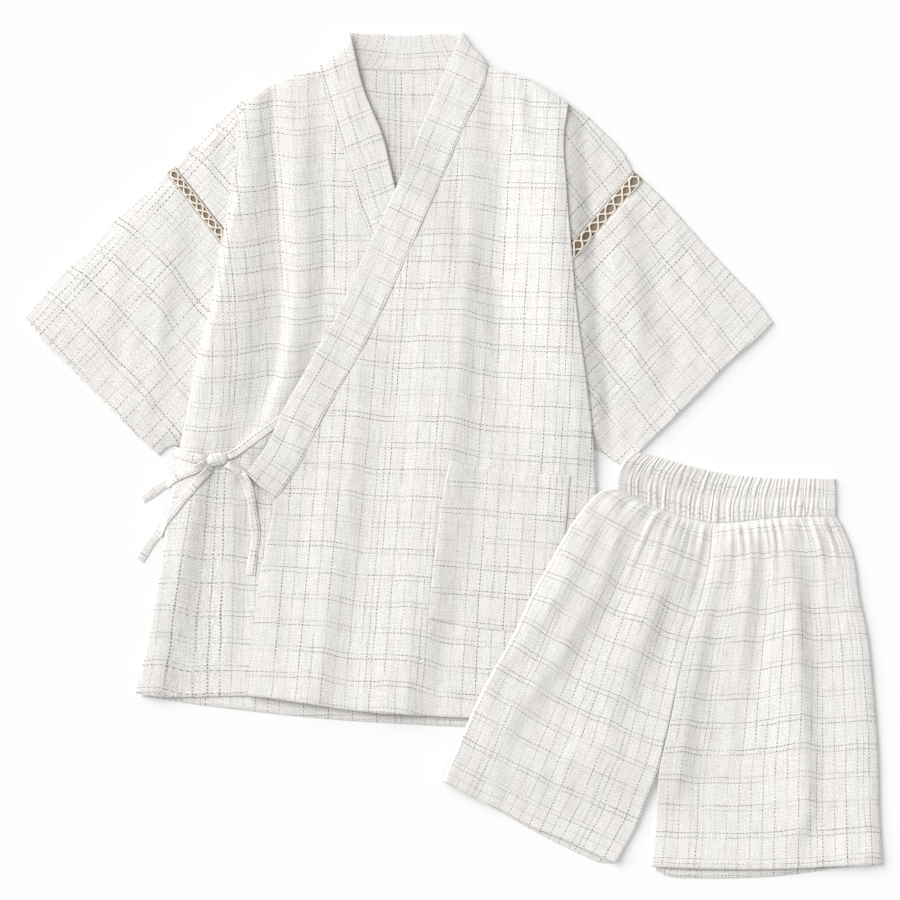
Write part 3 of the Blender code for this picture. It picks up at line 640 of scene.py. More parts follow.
@dataclass(frozen=True)
class CheckCloth:
    """Slub cotton with a fine broken check, drawn in the grain coordinates of each panel, in millimetres."""
    ground: Colour = (0.965, 0.945, 0.922, 1)
    thread: Colour = (0.05, 0.047, 0.045, 1)
    slub: Colour = (0.56, 0.54, 0.51, 1)
    darkness: float = 0.9  # share of the thread's colour on a line
    tint: float = 0.02  # strength of the squares' tints
    warp_pitch: float = 28.0
    weft_pitch: float = 31.0
    wander: float = 3.0  # how far a line strays from its place
    wander_grain: Point = (0.03, 0.02)  # of that noise, across the line and along it
    line_half_width: float = 0.5
    line_blur: float = 0.25
    bead: float = 4.0  # from one dot of a thread to the next
    loose_run: float = 3.0  # length of an uneven stretch of dots, in beads
    loose_shift: float = 7.0  # how far the dots shift in it, in radians
    loose_gain: float = 1.6  # how much longer it makes them
    dot: Point = (0.6, 1.4)  # where a dot begins and where it is full
    fade_length: float = 55.0  # grain of a line's slow fade
    faded: Point = (0.3, 0.6)  # where a line is faintest and where it is full
    faintest: float = 0.3  # its strength there
    streak_grain: Point = (1.1, 0.05)  # of the raised streaks, across the cloth and down it
    weave_grain: float = 1.6
    weave_share: float = 0.35  # height of the weave, in heights of the streaks
    bump_strength: float = 0.35
    bump_depth: float = 0.0006
    roughness: float = 0.92
    sheen: float = 0.12

    def build(self) -> Material:
        """Makes the material: dashed warp lines, doubled weft lines, tinted squares and slub streaks.

        Returns:
            The material.
        """
        g = Graph("check_cloth")
        grain = g.node("ShaderNodeUVMap", uv_map="grain").outputs[0]
        place = g.node("ShaderNodeSeparateXYZ", {0: grain})
        u, v = (g.times(place.outputs[axis], 1 / MM) for axis in (0, 1))
        u_way, v_way = (g.noise(g.times(u, u_scale), g.times(v, v_scale))
                        for u_scale, v_scale in (self.wander_grain, self.wander_grain[::-1]))
        lines = self.family(g, g.calc("MULTIPLY_ADD", u_way, self.wander, u), v, self.warp_pitch, WARPS)
        across = self.family(g, g.calc("MULTIPLY_ADD", v_way, self.wander, v), u, self.weft_pitch, WEFTS)
        open_share = g.times(g.calc("SUBTRACT", 1.0, lines), g.calc("SUBTRACT", 1.0, across))
        dark = g.calc("SUBTRACT", 1.0, open_share)
        streaks = g.noise(g.times(u, self.streak_grain[0]), g.times(v, self.streak_grain[1]), detail=2.0)
        weave = g.noise(g.times(u, self.weave_grain), g.times(v, self.weave_grain))
        g.bump(g.calc("MULTIPLY_ADD", weave, self.weave_share, streaks), self.bump_strength, self.bump_depth)
        colour = g.blend(g.times(dark, self.darkness), self.tinted_ground(g, u, v), self.thread)
        return g.finish(colour, self.roughness, self.sheen)

    def family(self, g: Graph, across: Value, along: Value, pitch: float, stripes: Sequence[Stripe]) -> Value:
        """Dotted lines at a pitch: a narrow step of the distance, times dots, times a slow fade of each line.

        Args:
            g: the material's graph.
            across: coordinate across the lines.
            along: coordinate along them.
            pitch: distance between the lines of a stripe.
            stripes: how the lines of each stripe look.

        Returns:
            Strength of the strongest stripe at each point, from 0 to 1.
        """
        strongest, half, blur = 0.0, self.line_half_width, self.line_blur
        for stripe in stripes:
            steps = g.calc("DIVIDE", g.calc("ADD", across, stripe.shift), pitch)
            number = g.calc("ROUND", steps)
            beyond = g.calc("SUBTRACT", steps, number)
            offset = g.calc("ABSOLUTE", g.times(beyond, pitch))
            distance = g.calc("ABSOLUTE", g.calc("SUBTRACT", offset, stripe.half_gap))
            line = g.ramp(distance, half + blur, half - blur)
            row = g.calc("MULTIPLY_ADD", number, 7.31, stripe.seed)
            if stripe.half_gap:
                row = g.calc("MULTIPLY_ADD", g.calc("SIGN", beyond), 3.17, row)
            chance = g.node("ShaderNodeTexWhiteNoise", {"W": row}, noise_dimensions="1D").outputs["Value"]
            kept = g.ramp(chance, stripe.rare - 0.1, stripe.rare + 0.25, stripe.faintest, 1.0)
            loose = g.noise(g.calc("DIVIDE", along, self.loose_run * self.bead), row, detail=0.5)
            shift = g.times(loose, self.loose_shift)
            beat = g.calc("SINE", g.calc("MULTIPLY_ADD", along, 2 * math.pi / self.bead, shift))
            dots = g.ramp(g.calc("MULTIPLY_ADD", loose, self.loose_gain, beat), *self.dot, stripe.between, 1.0)
            slow = g.noise(g.calc("DIVIDE", along, self.fade_length), g.calc("ADD", row, 91.0))
            fade = g.ramp(slow, *self.faded, self.faintest, 1.0)
            strength = g.times(g.times(g.times(line, kept), g.times(dots, fade)), stripe.strength)
            strongest = g.calc("MAXIMUM", strongest, strength)
        return strongest

    def tinted_ground(self, g: Graph, u: Value, v: Value) -> Value:
        """Ground colour: a faint tint for each square, and slub threads both ways.

        Args:
            g: the material's graph.
            u: coordinate across the cloth.
            v: coordinate down the cloth.

        Returns:
            The colour.
        """
        square = [g.calc("FLOOR", g.calc("DIVIDE", way, pitch))
                  for way, pitch in ((u, self.warp_pitch), (v, self.weft_pitch))]
        place = g.node("ShaderNodeCombineXYZ", dict(enumerate(square))).outputs[0]
        tint = g.node("ShaderNodeTexWhiteNoise", {"Vector": place}, noise_dimensions="2D").outputs["Color"]
        colour = g.blend(self.tint, self.ground, tint)
        for slub in SLUBS:
            streaks = g.noise(g.times(u, slub.u_scale), g.times(v, slub.v_scale), detail=2.0, z=slub.layer)
            colour = g.blend(g.ramp(streaks, slub.low, slub.high, 0.0, slub.strength), colour, self.slub)
        return colour


@dataclass(frozen=True)
class SewingThread:
    """Twisted sewing or braid thread."""
    name: str
    colour: Colour
    shade: Colour
    twist: float = 900.0

    def build(self) -> Material:
        """Makes the material: fine slanting bands of two shades.

        Returns:
            The material.
        """
        g = Graph(self.name)
        place = g.node("ShaderNodeTexCoord").outputs["Object"]
        turned = g.node("ShaderNodeMapping", {"Vector": place, "Rotation": (0.3, 0.5, 0.8)}).outputs[0]
        wave = g.node("ShaderNodeTexWave", {"Vector": turned, "Scale": self.twist, "Distortion": 2.0})
        bands = wave.outputs["Fac"]
        g.bump(bands, 0.3, 0.0002)
        return g.finish(g.blend(bands, self.shade, self.colour), 0.6, 0.1)


@dataclass(frozen=True)
class TapeWithPaintedShade:
    """Woven tape behind the openwork; its dark brown is partly the tape's own colour and partly painted shade
    of the sleeve's inside seen through the openwork.
    """
    # dark brown: partly the tape's own colour, partly painted shade of the hollow behind the openwork
    colour: Colour = (0.27, 0.21, 0.15, 1)
    light: Colour = (0.5, 0.41, 0.31, 1)

    def build(self) -> Material:
        """Makes the material: a fine rib in two browns.

        Returns:
            The material.
        """
        g = Graph("braid_tape")
        grain = g.node("ShaderNodeUVMap", uv_map="grain").outputs[0]
        rib = g.node("ShaderNodeTexWave", {"Vector": grain, "Scale": 320.0, "Distortion": 1.0})
        spots = g.node("ShaderNodeTexNoise", {"Vector": grain, "Scale": 400.0}).outputs["Fac"]
        share = g.times(rib.outputs["Fac"], spots)
        g.bump(share, 0.4, 0.0003)
        return g.finish(g.blend(share, self.colour, self.light), 0.9)


class Finish(NamedTuple):
    """A material and the record's slot that it belongs to."""
    material: Material
    slot: Slot


@dataclass(frozen=True)
class Finishes:
    """Every finish of the set."""
    cloth: Finish
    stitch: Finish
    braid: Finish
    tape: Finish


def make_finishes() -> Finishes:
    """Builds the four finishes."""
    stitch = SewingThread("sewing_thread", (0.82, 0.81, 0.78, 1), (0.66, 0.65, 0.62, 1))
    braid = SewingThread("braid_thread", (0.9, 0.835, 0.76, 1), (0.76, 0.68, 0.59, 1), 500.0)
    return Finishes(Finish(CheckCloth().build(), Slot.CLOTH), Finish(stitch.build(), Slot.CLOTH),
                    Finish(braid.build(), Slot.THREAD), Finish(TapeWithPaintedShade().build(), Slot.TAPE))


# ---------------- meshes


def grid_faces(rows: int, columns: int, first: int = 0, wrap: bool = False, flip: bool = False) -> Array:
    """Four-sided faces of a grid of points.

    Args:
        rows: rows of points.
        columns: points in a row.
        first: number of the grid's first point.
        wrap: whether each row closes on itself.
        flip: whether the faces turn the other way.

    Returns:
        The faces' corners, a row each; they face up where rows run down and columns to the right.
    """
    number = first + np.arange(rows * columns).reshape(rows, columns)
    if wrap:
        number = np.concatenate([number, number[:, :1]], axis=1)
    faces = np.stack([number[1:, :-1], number[1:, 1:], number[:-1, 1:], number[:-1, :-1]], axis=-1)
    return faces.reshape(-1, 4)[:, ::-1 if flip else 1]


def wall_mesh(lower: Array, wall: float | Array, sewn: Sequence[str] = ()) -> Mesh:
    """A closed wall on a surface: the surface, its copy raised by the wall with a rounded edge, and the sides.

    Args:
        lower: grid of points of the lower surface.
        wall: thickness upwards.
        sewn: sides whose edge hardly drops, as they are sewn to the next piece.

    Returns:
        Points and faces.
    """
    rows, columns = lower.shape[:2]
    upper = lifted(lower, wall)
    drop = np.zeros((rows, columns))
    for side in ("top", "bottom", "left", "right"):
        edge = SEWN_EDGE if side in sewn else LOOSE_EDGE
        lines_from(drop[..., None], side)[0] = edge.drop * np.min(wall)
        lines = lines_from(upper, side)
        lines[0][..., :2] += edge.inset * (lines[1][..., :2] - lines[0][..., :2])
    upper[..., 2] -= drop
    count = rows * columns
    number = np.arange(count).reshape(rows, columns)
    loop = np.concatenate([number[0, :-1], number[:-1, -1], number[-1, :0:-1], number[:0:-1, 0]])
    following = np.roll(loop, -1)
    sides = np.stack([loop, loop + count, following + count, following], axis=-1)
    faces = np.concatenate([grid_faces(rows, columns, count), grid_faces(rows, columns, 0, flip=True), sides])
    return np.concatenate([lower.reshape(-1, 3), upper.reshape(-1, 3)]), faces.tolist()


def ring_mesh(outer: Array, inner: Array) -> Mesh:
    """A tube with a wall: its outer and inner skins, each row a ring, joined round both open ends.

    Args:
        outer: grid of points whose rows are rings, not repeating their first point.
        inner: the same of the inner skin.

    Returns:
        Points and faces.
    """
    rows, columns = outer.shape[:2]
    count = rows * columns
    number = np.arange(count).reshape(rows, columns)
    ends = []
    for row, turn in ((0, 1), (rows - 1, -1)):
        loop = number[row]
        following = np.roll(loop, -1)
        ends.append(np.stack([loop, following, following + count, loop + count], axis=-1)[:, ::turn])
    faces = np.concatenate([grid_faces(rows, columns, 0, wrap=True),
                            grid_faces(rows, columns, count, wrap=True, flip=True), *ends])
    return np.concatenate([outer.reshape(-1, 3), inner.reshape(-1, 3)]), faces.tolist()


def make_piece(name: str, shape: Mesh, grain: Array | None, finish: Finish,
               node: str | None) -> Object:
    """Puts a finished mesh in the scene, riding on the set's body, with its faces turned outwards.

    Args:
        name: the piece's name.
        shape: its points and faces, in the tables' frame.
        grain: grain coordinates in millimetres of its points, or of its first skin's points, or none.
        finish: its finish.
        node: the solid's node that it stands for, or none.

    Returns:
        The piece.
    """
    points, faces = shape
    placed = (points + np.array([*MIDDLE, 0.0])) * MM
    mesh = bpy.data.meshes.new(name)
    mesh.from_pydata(placed.tolist(), [], faces)
    turned = bmesh.new()
    turned.from_mesh(mesh)
    bmesh.ops.recalc_face_normals(turned, faces=turned.faces)
    turned.to_mesh(mesh)
    turned.free()
    mesh.polygons.foreach_set("use_smooth", np.ones(len(mesh.polygons), bool))
    if grain is not None:
        layer = mesh.uv_layers.new(name="grain")
        corners = np.empty(len(mesh.loops), int)
        mesh.loops.foreach_get("vertex_index", corners)
        layer.data.foreach_set("uv", (np.resize(grain, (len(points), 2))[corners] * MM).ravel())
    mesh.materials.append(finish.material)
    piece = bpy.data.objects.new(name, mesh)
    bpy.context.scene.collection.objects.link(piece)
    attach(piece, "root")
    if node:
        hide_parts(node)
    LOG.info("%s: %d faces", name, len(mesh.polygons))
    return piece


# ---------------- tables

# Edges of the jacket, columns x and y. A point written twice is a corner.
NECK_SEAM = ((-152, 442), (-109, 443), (-60, 441), (-9, 443), (36, 442))
RIGHT_SHOULDER = ((-233, 415), (-206, 427), (-178, 438), (-157, 446))
LEFT_SHOULDER = ((39, 446), (64, 439), (87, 431), (109, 417), (131, 404))
RIGHT_SIDE = ((-233, 415), (-247, 380), (-252, 335), (-260, 283), (-270, 231), (-281, 166), (-294, 118),
              (-306, 55), (-316, 5), (-327, -53), (-335, -109), (-347, -179), (-366, -275))
LEFT_SIDE = ((131, 404), (126, 369), (129, 303), (135, 231), (140, 173), (151, 90), (159, 24), (163, -41),
             (171, -121), (178, -213), (182, -303))
RIGHT_BAND_SEAM = ((-157, 446), (-137, 382), (-124, 335), (-105, 274), (-64, 189), (-17, 97), (41, 5),
                   (81, -52))
LEFT_BAND_SEAM = ((39, 446), (32, 419), (13, 380), (-17, 311), (-55, 226), (-96, 139), (-134, 72),
                  (-154, 37), (-178, -13), (-206, -53))
RIGHT_FREE_EDGE = ((81, -52), (104, -298))
LEFT_FREE_EDGE = ((-206, -53), (-228, -167), (-239, -277))

BACK = Outline(
    top=((-222, 412), (-204, 422), (-177, 433), NECK_SEAM[0], *NECK_SEAM, NECK_SEAM[-1], (63, 433),
         (86, 425), (107, 412), (121, 401)),
    bottom=((-360, -278), (-321, -284), (-226, -296), (-147, -304), (-55, -310), (11, -313), (98, -315),
            (178, -308)),
    left=((-222, 412), (-237, 380), (-242, 335), (-250, 283), (-256, 236), (-262, 213), (-267, 189),
          (-284, 118), (-296, 55), (-306, 8), (-323, -53), (-331, -109), (-343, -179), (-360, -278)),
    right=((121, 401), (116, 369), (119, 303), (123, 236), (126, 212), (130, 173), (141, 90), (149, 24),
           (152, 4), (159, -41), (167, -121), (174, -213), (178, -308)))
BACK_BAND = Outline(
    top=((-118, 485), (-91, 484), (-60, 482), (-22, 484), (8, 484)),
    bottom=NECK_SEAM,
    left=((-118, 485), (-121, 475), (-131, 462), (-152, 442)),
    right=((8, 484), (18, 467), (31, 453), (36, 442)))
RIGHT_FRONT = Outline(
    top=RIGHT_SHOULDER,
    bottom=((-366, -275), (-335, -279), (-303, -279), (-239, -278), (-143, -283), (-17, -295), (104, -298)),
    left=RIGHT_SIDE,
    right=(*RIGHT_BAND_SEAM, *RIGHT_FREE_EDGE))
RIGHT_BAND = Outline(
    top=((-157, 446), (-134, 465), (-124, 477), (-120, 488)),
    bottom=((81, -52), (118, -27)),
    left=RIGHT_BAND_SEAM,
    right=((-120, 488), (-116, 469), (-104, 420), (-83, 369), (-67, 306), (-24, 209), (24, 118), (79, 29),
           (118, -27)))
LEFT_FRONT = Outline(
    top=LEFT_SHOULDER,
    bottom=((-239, -277), (-178, -285), (-127, -293), (-90, -297), (-45, -300), (13, -303), (98, -306),
            (182, -303)),
    left=(*LEFT_BAND_SEAM, *LEFT_FREE_EDGE),
    right=LEFT_SIDE)
LEFT_BAND = Outline(
    top=((10, 486), (20, 470), (34, 455), (39, 446)),
    bottom=((-239, -22), (-206, -53)),
    left=((10, 486), (-9, 447), (-27, 404), (-57, 329), (-96, 246), (-137, 158), (-173, 94), (-193, 59),
          (-217, 9), (-239, -22)),
    right=LEFT_BAND_SEAM)
POCKET = Outline(
    top=((-5, -7), (20, -13), (49, -18), (78, -21), (133, -24)),
    bottom=((-30, -188), (1, -195), (29, -200), (65, -203), (110, -209)),
    left=((-5, -7), (-12, -39), (-20, -98), (-27, -156), (-30, -188)),
    right=((133, -24), (128, -86), (119, -167), (110, -209)))

# Sleeves: "top" is the fold along the shoulder, "bottom" the underarm, "left" the armhole, "right" the cuff
RIGHT_BRAID_UPPER = ((-320.1, 330.8), (-256.8, 250.0))
RIGHT_BRAID_LOWER = ((-331.9, 323.2), (-261.5, 231.9))
LEFT_BRAID_UPPER = ((205.6, 325.6), (125.5, 234.5))
LEFT_BRAID_LOWER = ((218.4, 314.4), (128.5, 212.1))
SLEEVE_HEADS = {
    "right": Outline(
        top=((-226, 417), (-233, 414), (-258, 395), (-281, 376), (-303, 354), RIGHT_BRAID_UPPER[0]),
        bottom=((-256, 257), (-259.5, 253.5)),
        left=((-226, 417), (-239, 380), (-244, 335), (-252, 283), (-256, 257)),
        right=(RIGHT_BRAID_UPPER[0], (-259.5, 253.5))),
    "left": Outline(
        top=((124, 407), (131, 403), (148, 393), (167, 375), (194, 347), LEFT_BRAID_UPPER[0]),
        bottom=((123, 252), (134.5, 244.7)),
        left=((124, 407), (118, 369), (121, 303), (123, 252)),
        right=(LEFT_BRAID_UPPER[0], (134.5, 244.7))),
}
TAPES = {side: Outline((upper[0], lower[0]), (upper[1], lower[1]), upper, lower)
         for side, upper, lower in (("right", RIGHT_BRAID_UPPER, RIGHT_BRAID_LOWER),
                                    ("left", LEFT_BRAID_UPPER, LEFT_BRAID_LOWER))}
SLEEVES = {
    "right": Outline(
        top=(RIGHT_BRAID_LOWER[0], (-354, 303), (-390, 271), (-417, 239), (-450, 210), (-478, 178),
             (-494, 158)),
        bottom=((-308, 8), (-327, 9), (-340, -1)),
        left=(*RIGHT_BRAID_LOWER, RIGHT_BRAID_LOWER[1], (-269, 189), (-273, 166), (-286, 118), (-298, 55),
              (-308, 8)),
        right=((-494, 158), (-478, 137), (-456, 114), (-412, 70), (-369, 26), (-340, -1))),
    "left": Outline(
        top=(LEFT_BRAID_LOWER[0], (242, 292), (262, 270), (282, 247), (326, 200), (348, 177), (366, 152)),
        bottom=((154, 6), (167, 4), (181, -6), (195, -14)),
        left=(*LEFT_BRAID_LOWER, LEFT_BRAID_LOWER[1], (132, 173), (143, 90), (151, 24), (154, 6)),
        right=((366, 152), (347, 133), (321, 111), (273, 63), (233, 24), (195, -14))),
}

# Edges of the shorts
WAIST_SEAM = ((186, -39), (213, -52), (242, -64), (271, -74), (297, -79), (320, -78), (347, -75), (377, -72),
              (408, -71), (439, -71))
CENTRE_SEAM = ((297, -79), (293, -121), (287, -150), (277, -187), (267, -219), (257, -259))
RIGHT_LEG_SIDE = ((186, -39), (173, -40), (164, -45), (141, -71), (109, -124), (90, -158), (66, -209),
                  (34, -266), (5, -331), (-14, -375))
LEFT_LEG_SIDE = ((439, -71), (447, -85), (459, -117), (466, -165), (474, -201), (482, -273), (487, -339),
                 (489, -409), (492, -471))
WAISTBAND = Outline(
    top=((206, 3), (234, -3), (254, -9), (282, -16), (301, -20), (329, -24), (358, -27), (396, -27),
         (438, -28)),
    bottom=(*WAIST_SEAM[:5], *WAIST_SEAM[4:]),
    left=((206, 3), (196, -6), (188, -20), (186, -39)),
    right=((438, -28), (439, -48), (439, -71)))
LEG_FRONTS = {
    "right": Outline(
        top=WAIST_SEAM[:5],
        bottom=((-14, -375), (25, -396), (60, -412), (89, -428), (119, -440), (167, -462), (185, -470)),
        left=RIGHT_LEG_SIDE,
        right=(*CENTRE_SEAM, CENTRE_SEAM[-1], (241, -331), (234, -361), (221, -394), (209, -427),
               (191, -459), (185, -470))),
    "left": Outline(
        top=WAIST_SEAM[4:],
        bottom=((226, -474), (278, -476), (355, -477), (432, -474), (492, -471)),
        left=(*CENTRE_SEAM, CENTRE_SEAM[-1], (251.2, -290), (242.2, -331), (235.4, -361), (233, -394),
              (231, -432), (226, -474)),
        right=LEFT_LEG_SIDE),
}
LEG_BACKS = {
    "right": Outline(
        top=((189, -41), *WAIST_SEAM[1:5]),
        bottom=((-9, -378), (42, -405), (102, -439), (141, -458), (167, -469), (181, -470)),
        left=((189, -41), (176, -44), (167, -49), (145, -74), (113, -126), (94, -160), (70, -211),
              (38, -268), (9, -333), (-9, -378)),
        right=(*CENTRE_SEAM, CENTRE_SEAM[-1], (237, -331), (230, -361), (217, -394), (205, -427),
               (187, -459), (181, -470))),
    "left": Outline(
        top=(*WAIST_SEAM[4:-1], (435, -71)),
        bottom=((231, -478), (240, -483), (278, -487), (321, -487), (377, -484), (432, -477), (488, -470)),
        left=(*CENTRE_SEAM, CENTRE_SEAM[-1], (260, -290), (248, -331), (240, -361), (237, -394), (235, -432),
              (231, -478)),
        right=((435, -71), (443, -87), (455, -118), (462, -166), (470, -202), (478, -273), (483, -339),
               (485, -409), (488, -470))),
}

# Ties: the middle line of each, as it runs from the knot
TIES = {
    "tie_outer": ((-254, 1), (-246, 6), (-233, 16), (-221, 25), (-209, 33), (-199, 40), (-189, 47)),
    "tie_side": ((-291, -4), (-296, -4), (-310, -1), (-324, 5)),
    "tie_tail_1": ((-289, -12), (-297, -17), (-312, -22), (-329, -32), (-344, -42), (-359, -52)),
    "tie_tail_2": ((-284, -20), (-292, -28), (-309, -48), (-329, -72), (-347, -99), (-362, -122)),
    "tie_tail_3": ((-257, -13), (-250, -17), (-240, -30), (-234, -49), (-231, -70), (-228, -93),
                   (-231, -113), (-234, -139)),
}

# Soft folds, a row each: three points along the crest, its half width, and its height at those points
BACK_FOLDS = (Fold(-122, 482, -90, 395, -62, 306, 20, 2.6, 2.8, 1.4),)
RIGHT_FRONT_FOLDS = (
    Fold(-296, -26, -316, -121, -344, -264, 22, 6.4, 6.6, 5.5),
    Fold(-259, -28, -259, -110, -262, -213, 14, 4.2, 2.6, 0.8),
    Fold(-250, 4, -226, 16, -200, 32, 17, 2.4, 3.4, 1.6),
    Fold(-232, -26, -231, -50, -228, -70, 8, 2.5, 3.2, 1.0),
    Fold(-117, 470, -92, 390, -67, 306, 16, 2.4, 1.2, 0.4),
)
LEFT_FRONT_FOLDS = (
    Fold(24, 419, 1, 97, -61, -288, 25, 4.1, 4.5, 4.8),
    Fold(-106, 137, -131, -64, -164, -277, 24, 2.4, 4.2, 5.0),
    Fold(74, 408, 77, 378, 83, 333, 10, 2.8, 2.8, 0.5),
    Fold(-203, -80, -206, -160, -221, -270, 14, 1.0, 1.8, 1.0),
)
SLEEVE_FOLDS = {
    "right": (
        Fold(-320, 285, -334, 190, -352, 75, 20, 2.0, 4.8, 2.4),
        Fold(-388, 235, -404, 160, -425, 110, 22, 1.0, 2.2, 1.0),
    ),
    "left": (
        Fold(190, 275, 204, 181, 225, 106, 18, 3.0, 5.0, 2.2),
        Fold(271, 224, 282, 166, 288, 120, 24, 0.5, 1.2, 0.8),
    ),
}
SLEEVE_HEAD_FOLDS = {
    "right": (Fold(-277, 385, -280, 360, -284, 340, 12, 0.5, 1.5, 0.8),),
    "left": (Fold(150, 370, 155, 340, 160, 320, 12, 0.3, 1.0, 0.5),),
}

# Larger waves by the armholes: crests and valleys from left to right, a column for each height up the jacket
WAVE_ROWS = (420, 373, 316, 258, 200, 143, 86, 28, -30)
FLAT = (0.0,) * len(WAVE_ROWS)
RIGHT_FRONT_WAVES = (
    Wave((-238, -249, -255, -265, -276, -287, -300, -311, -323),
         (3.2, 4.8, 5.2, 5.6, 6.2, 6.6, 6.2, 3.8, 0.6)),
    Wave((-228, -238, -242, -256, -264, -278, -288, -292, -312),
         (3.8, 6.0, 6.6, 7.6, 8.4, 9.2, 8.6, 5.6, 1.0)),
    Wave((-208, -206, -204, -201, -199, -200, -208, -232, -280),
         (1.2, 1.2, 1.2, 1.2, 1.2, 1.2, 1.0, 0.2, 0.0)),
    Wave((-188, -185, -184, -181, -182, -186, -196, -216, -255),
         (2.6, 3.8, 4.3, 4.3, 4.5, 4.6, 4.0, 2.0, 0.0)),
    Wave((-152, -149, -149, -146, -146, -152, -168, -193, -230), FLAT),
    Wave((-130, -123, -123, -123, -121, -125, -136, -158, -180),
         (0.6, 0.8, 0.8, 0.8, 1.2, 1.2, 1.0, 0.8, 0.0)),
)
LEFT_FRONT_WAVES = (
    Wave((42, 43, 43, 43, 44, 46, 54, 64, 80), FLAT),
    Wave((110, 116, 118, 118, 121, 125, 133, 143, 150), (5.4, 10.4, 12.6, 13.7, 13.7, 13.0, 11.7, 7.6, 1.5)),
    Wave((128, 127, 129, 133, 138, 144, 152, 159, 163), (4.8, 9.3, 11.5, 12.6, 12.6, 11.9, 10.6, 6.6, 1.0)),
)
SLEEVE_WAVES = {
    "right": (
        Wave((-300, -305, -315, -325, -336, -347, -360, -371, -380), FLAT),
        Wave((-236, -240, -247, -257, -268, -279, -292, -305, -310),
             (0.8, 2.4, 2.8, 3.2, 3.8, 4.2, 3.7, 1.6, 0.0)),
    ),
    "left": (
        Wave((124, 119, 121, 125, 130, 136, 145, 153, 158), (1.8, 5.9, 7.9, 9.1, 9.1, 8.6, 7.3, 3.8, 0.0)),
        Wave((146, 151, 156, 162, 164, 169, 176, 182, 186), FLAT),
    ),
}

# Folds of both legs
LEG_FOLDS = (
    Fold(150, -75, 112, -160, 45, -246, 18, 3.0, 4.8, 2.4),
    Fold(187, -75, 149, -175, 68, -294, 18, 3.0, 5.6, 2.8),
    Fold(252, -78, 228, -175, 174, -310, 16, 3.4, 5.8, 0.9),
    Fold(283, -85, 270, -135, 258, -190, 9, 1.8, 3.0, 0.8),
    Fold(158, -300, 180, -330, 200, -390, 28, 0.3, 1.2, 0.5),
    Fold(318, -81, 284, -200, 258, -363, 14, 2.8, 4.0, 2.4),
    Fold(343, -80, 332, -173, 322, -275, 14, 3.0, 5.4, 1.4),
    Fold(377, -80, 392, -210, 404, -411, 15, 3.4, 6.0, 3.4),
    Fold(418, -85, 423, -112, 428, -144, 9, 2.2, 2.4, 0.5),
    Fold(455, -144, 468, -282, 474, -455, 16, 1.2, 2.0, 2.0),
)


# ---------------- grain


@dataclass(frozen=True)
class CrossedGrain:
    """Straight weave: where a warp and a weft line cross, their angles from the x axis, and their stretch."""
    through: Point = (0.0, 0.0)
    warp_angle: float = 90.0
    weft_angle: float = 0.0
    warp_stretch: float = 1.0
    weft_stretch: float = 1.0

    def at(self, plan: Plan) -> Array:
        """Grain coordinates: distances from the warp line and from the weft line, over the stretch.

        Args:
            plan: the panel's grid.

        Returns:
            A pair in millimetres for each point.
        """
        x, y = (plan.points - self.through).transpose(2, 0, 1)
        warp, weft = math.radians(self.warp_angle), math.radians(self.weft_angle)
        u = (x * math.sin(warp) - y * math.cos(warp)) / self.warp_stretch
        v = (x * math.sin(weft) - y * math.cos(weft)) / self.weft_stretch
        return np.stack([u, v], axis=-1)


@dataclass(frozen=True)
class GuidedGrain:
    """Weave that leans as the cloth does: warp lines given by tables, and wefts that fall to the right."""
    numbers: tuple[float, ...]
    guides: tuple[Line, ...]
    falls: Point = (0.0, 0.0)
    ends: Point = (420.0, -300.0)
    shift: Point = (0.0, 0.0)

    def at(self, plan: Plan) -> Array:
        """Grain coordinates: u runs evenly from guide to guide, v down the panel with the wefts' slope.

        Args:
            plan: the panel's grid.

        Returns:
            A pair in millimetres for each point.
        """
        x, y = plan.points[..., 0], plan.points[..., 1]
        lines = [np.array(guide, float)[::-1] for guide in self.guides]
        places = [np.interp(y, line[:, 1], line[:, 0]) for line in lines]
        u = self.numbers[0] + x - places[0]
        for index, place in enumerate(places[:-1]):
            rate = (self.numbers[index + 1] - self.numbers[index]) / (places[index + 1] - place)
            u = np.where(x > place, self.numbers[index] + (x - place) * rate, u)
        u = np.where(x > places[-1], self.numbers[-1] + x - places[-1], u)
        fall = np.interp(y, self.ends[::-1], self.falls[::-1])
        return np.stack([u + self.shift[0], self.shift[1] - y - fall * x], axis=-1)


@dataclass(frozen=True)
class FannedGrain:
    """Weave that follows a panel's own edges, its wefts square to the middle line if so asked."""
    width: float
    length: float
    shift: Point = (0.0, 0.0)
    squared: bool = False

    def at(self, plan: Plan) -> Array:
        """Grain coordinates: the places across and down, times the panel's sizes.

        Args:
            plan: the panel's grid.

        Returns:
            A pair in millimetres for each point.
        """
        u, v = np.meshgrid(plan.across * self.width + self.shift[0], plan.down * self.length + self.shift[1])
        if self.squared:
            middle = plan.points[:, plan.points.shape[1] // 2]
            v = v + ((plan.points - middle[:, None]) * headings(middle)[:, None]).sum(axis=-1)
        return np.stack([u, v], axis=-1)


Grain = CrossedGrain | GuidedGrain | FannedGrain

RIGHT_GUIDES = (
    ((-304, 396), (-293, 258), (-280, 143), (-281, 63), (-289, 17), (-304, -41), (-325, -167), (-339, -271)),
    ((-275, 396), (-260, 258), (-251, 189), (-248, 109), (-256, 17), (-262, -29), (-265, -167), (-267, -271)),
    ((-233, 413), (-220, 293), (-209, 178), (-205, 86), (-221, 17), (-233, -41), (-236, -167), (-240, -271)),
    ((-152, 408), (-155, 293), (-155, 178), (-157, 132), (-164, 5), (-172, -271)),
)
LEFT_GUIDES = (
    ((-34, 442), (-45, 304), (-59, 143), (-74, -29), (-97, -282)),
    ((127, 442), (121, 339), (113, 189), (108, 63), (98, -110), (87, -282)),
)
FRONT_RIGHT_GRAIN = GuidedGrain((-32, 0, 34, 94), RIGHT_GUIDES)
FRONT_LEFT_GRAIN = GuidedGrain((0, 170), LEFT_GUIDES, falls=(0.045, 0.1))
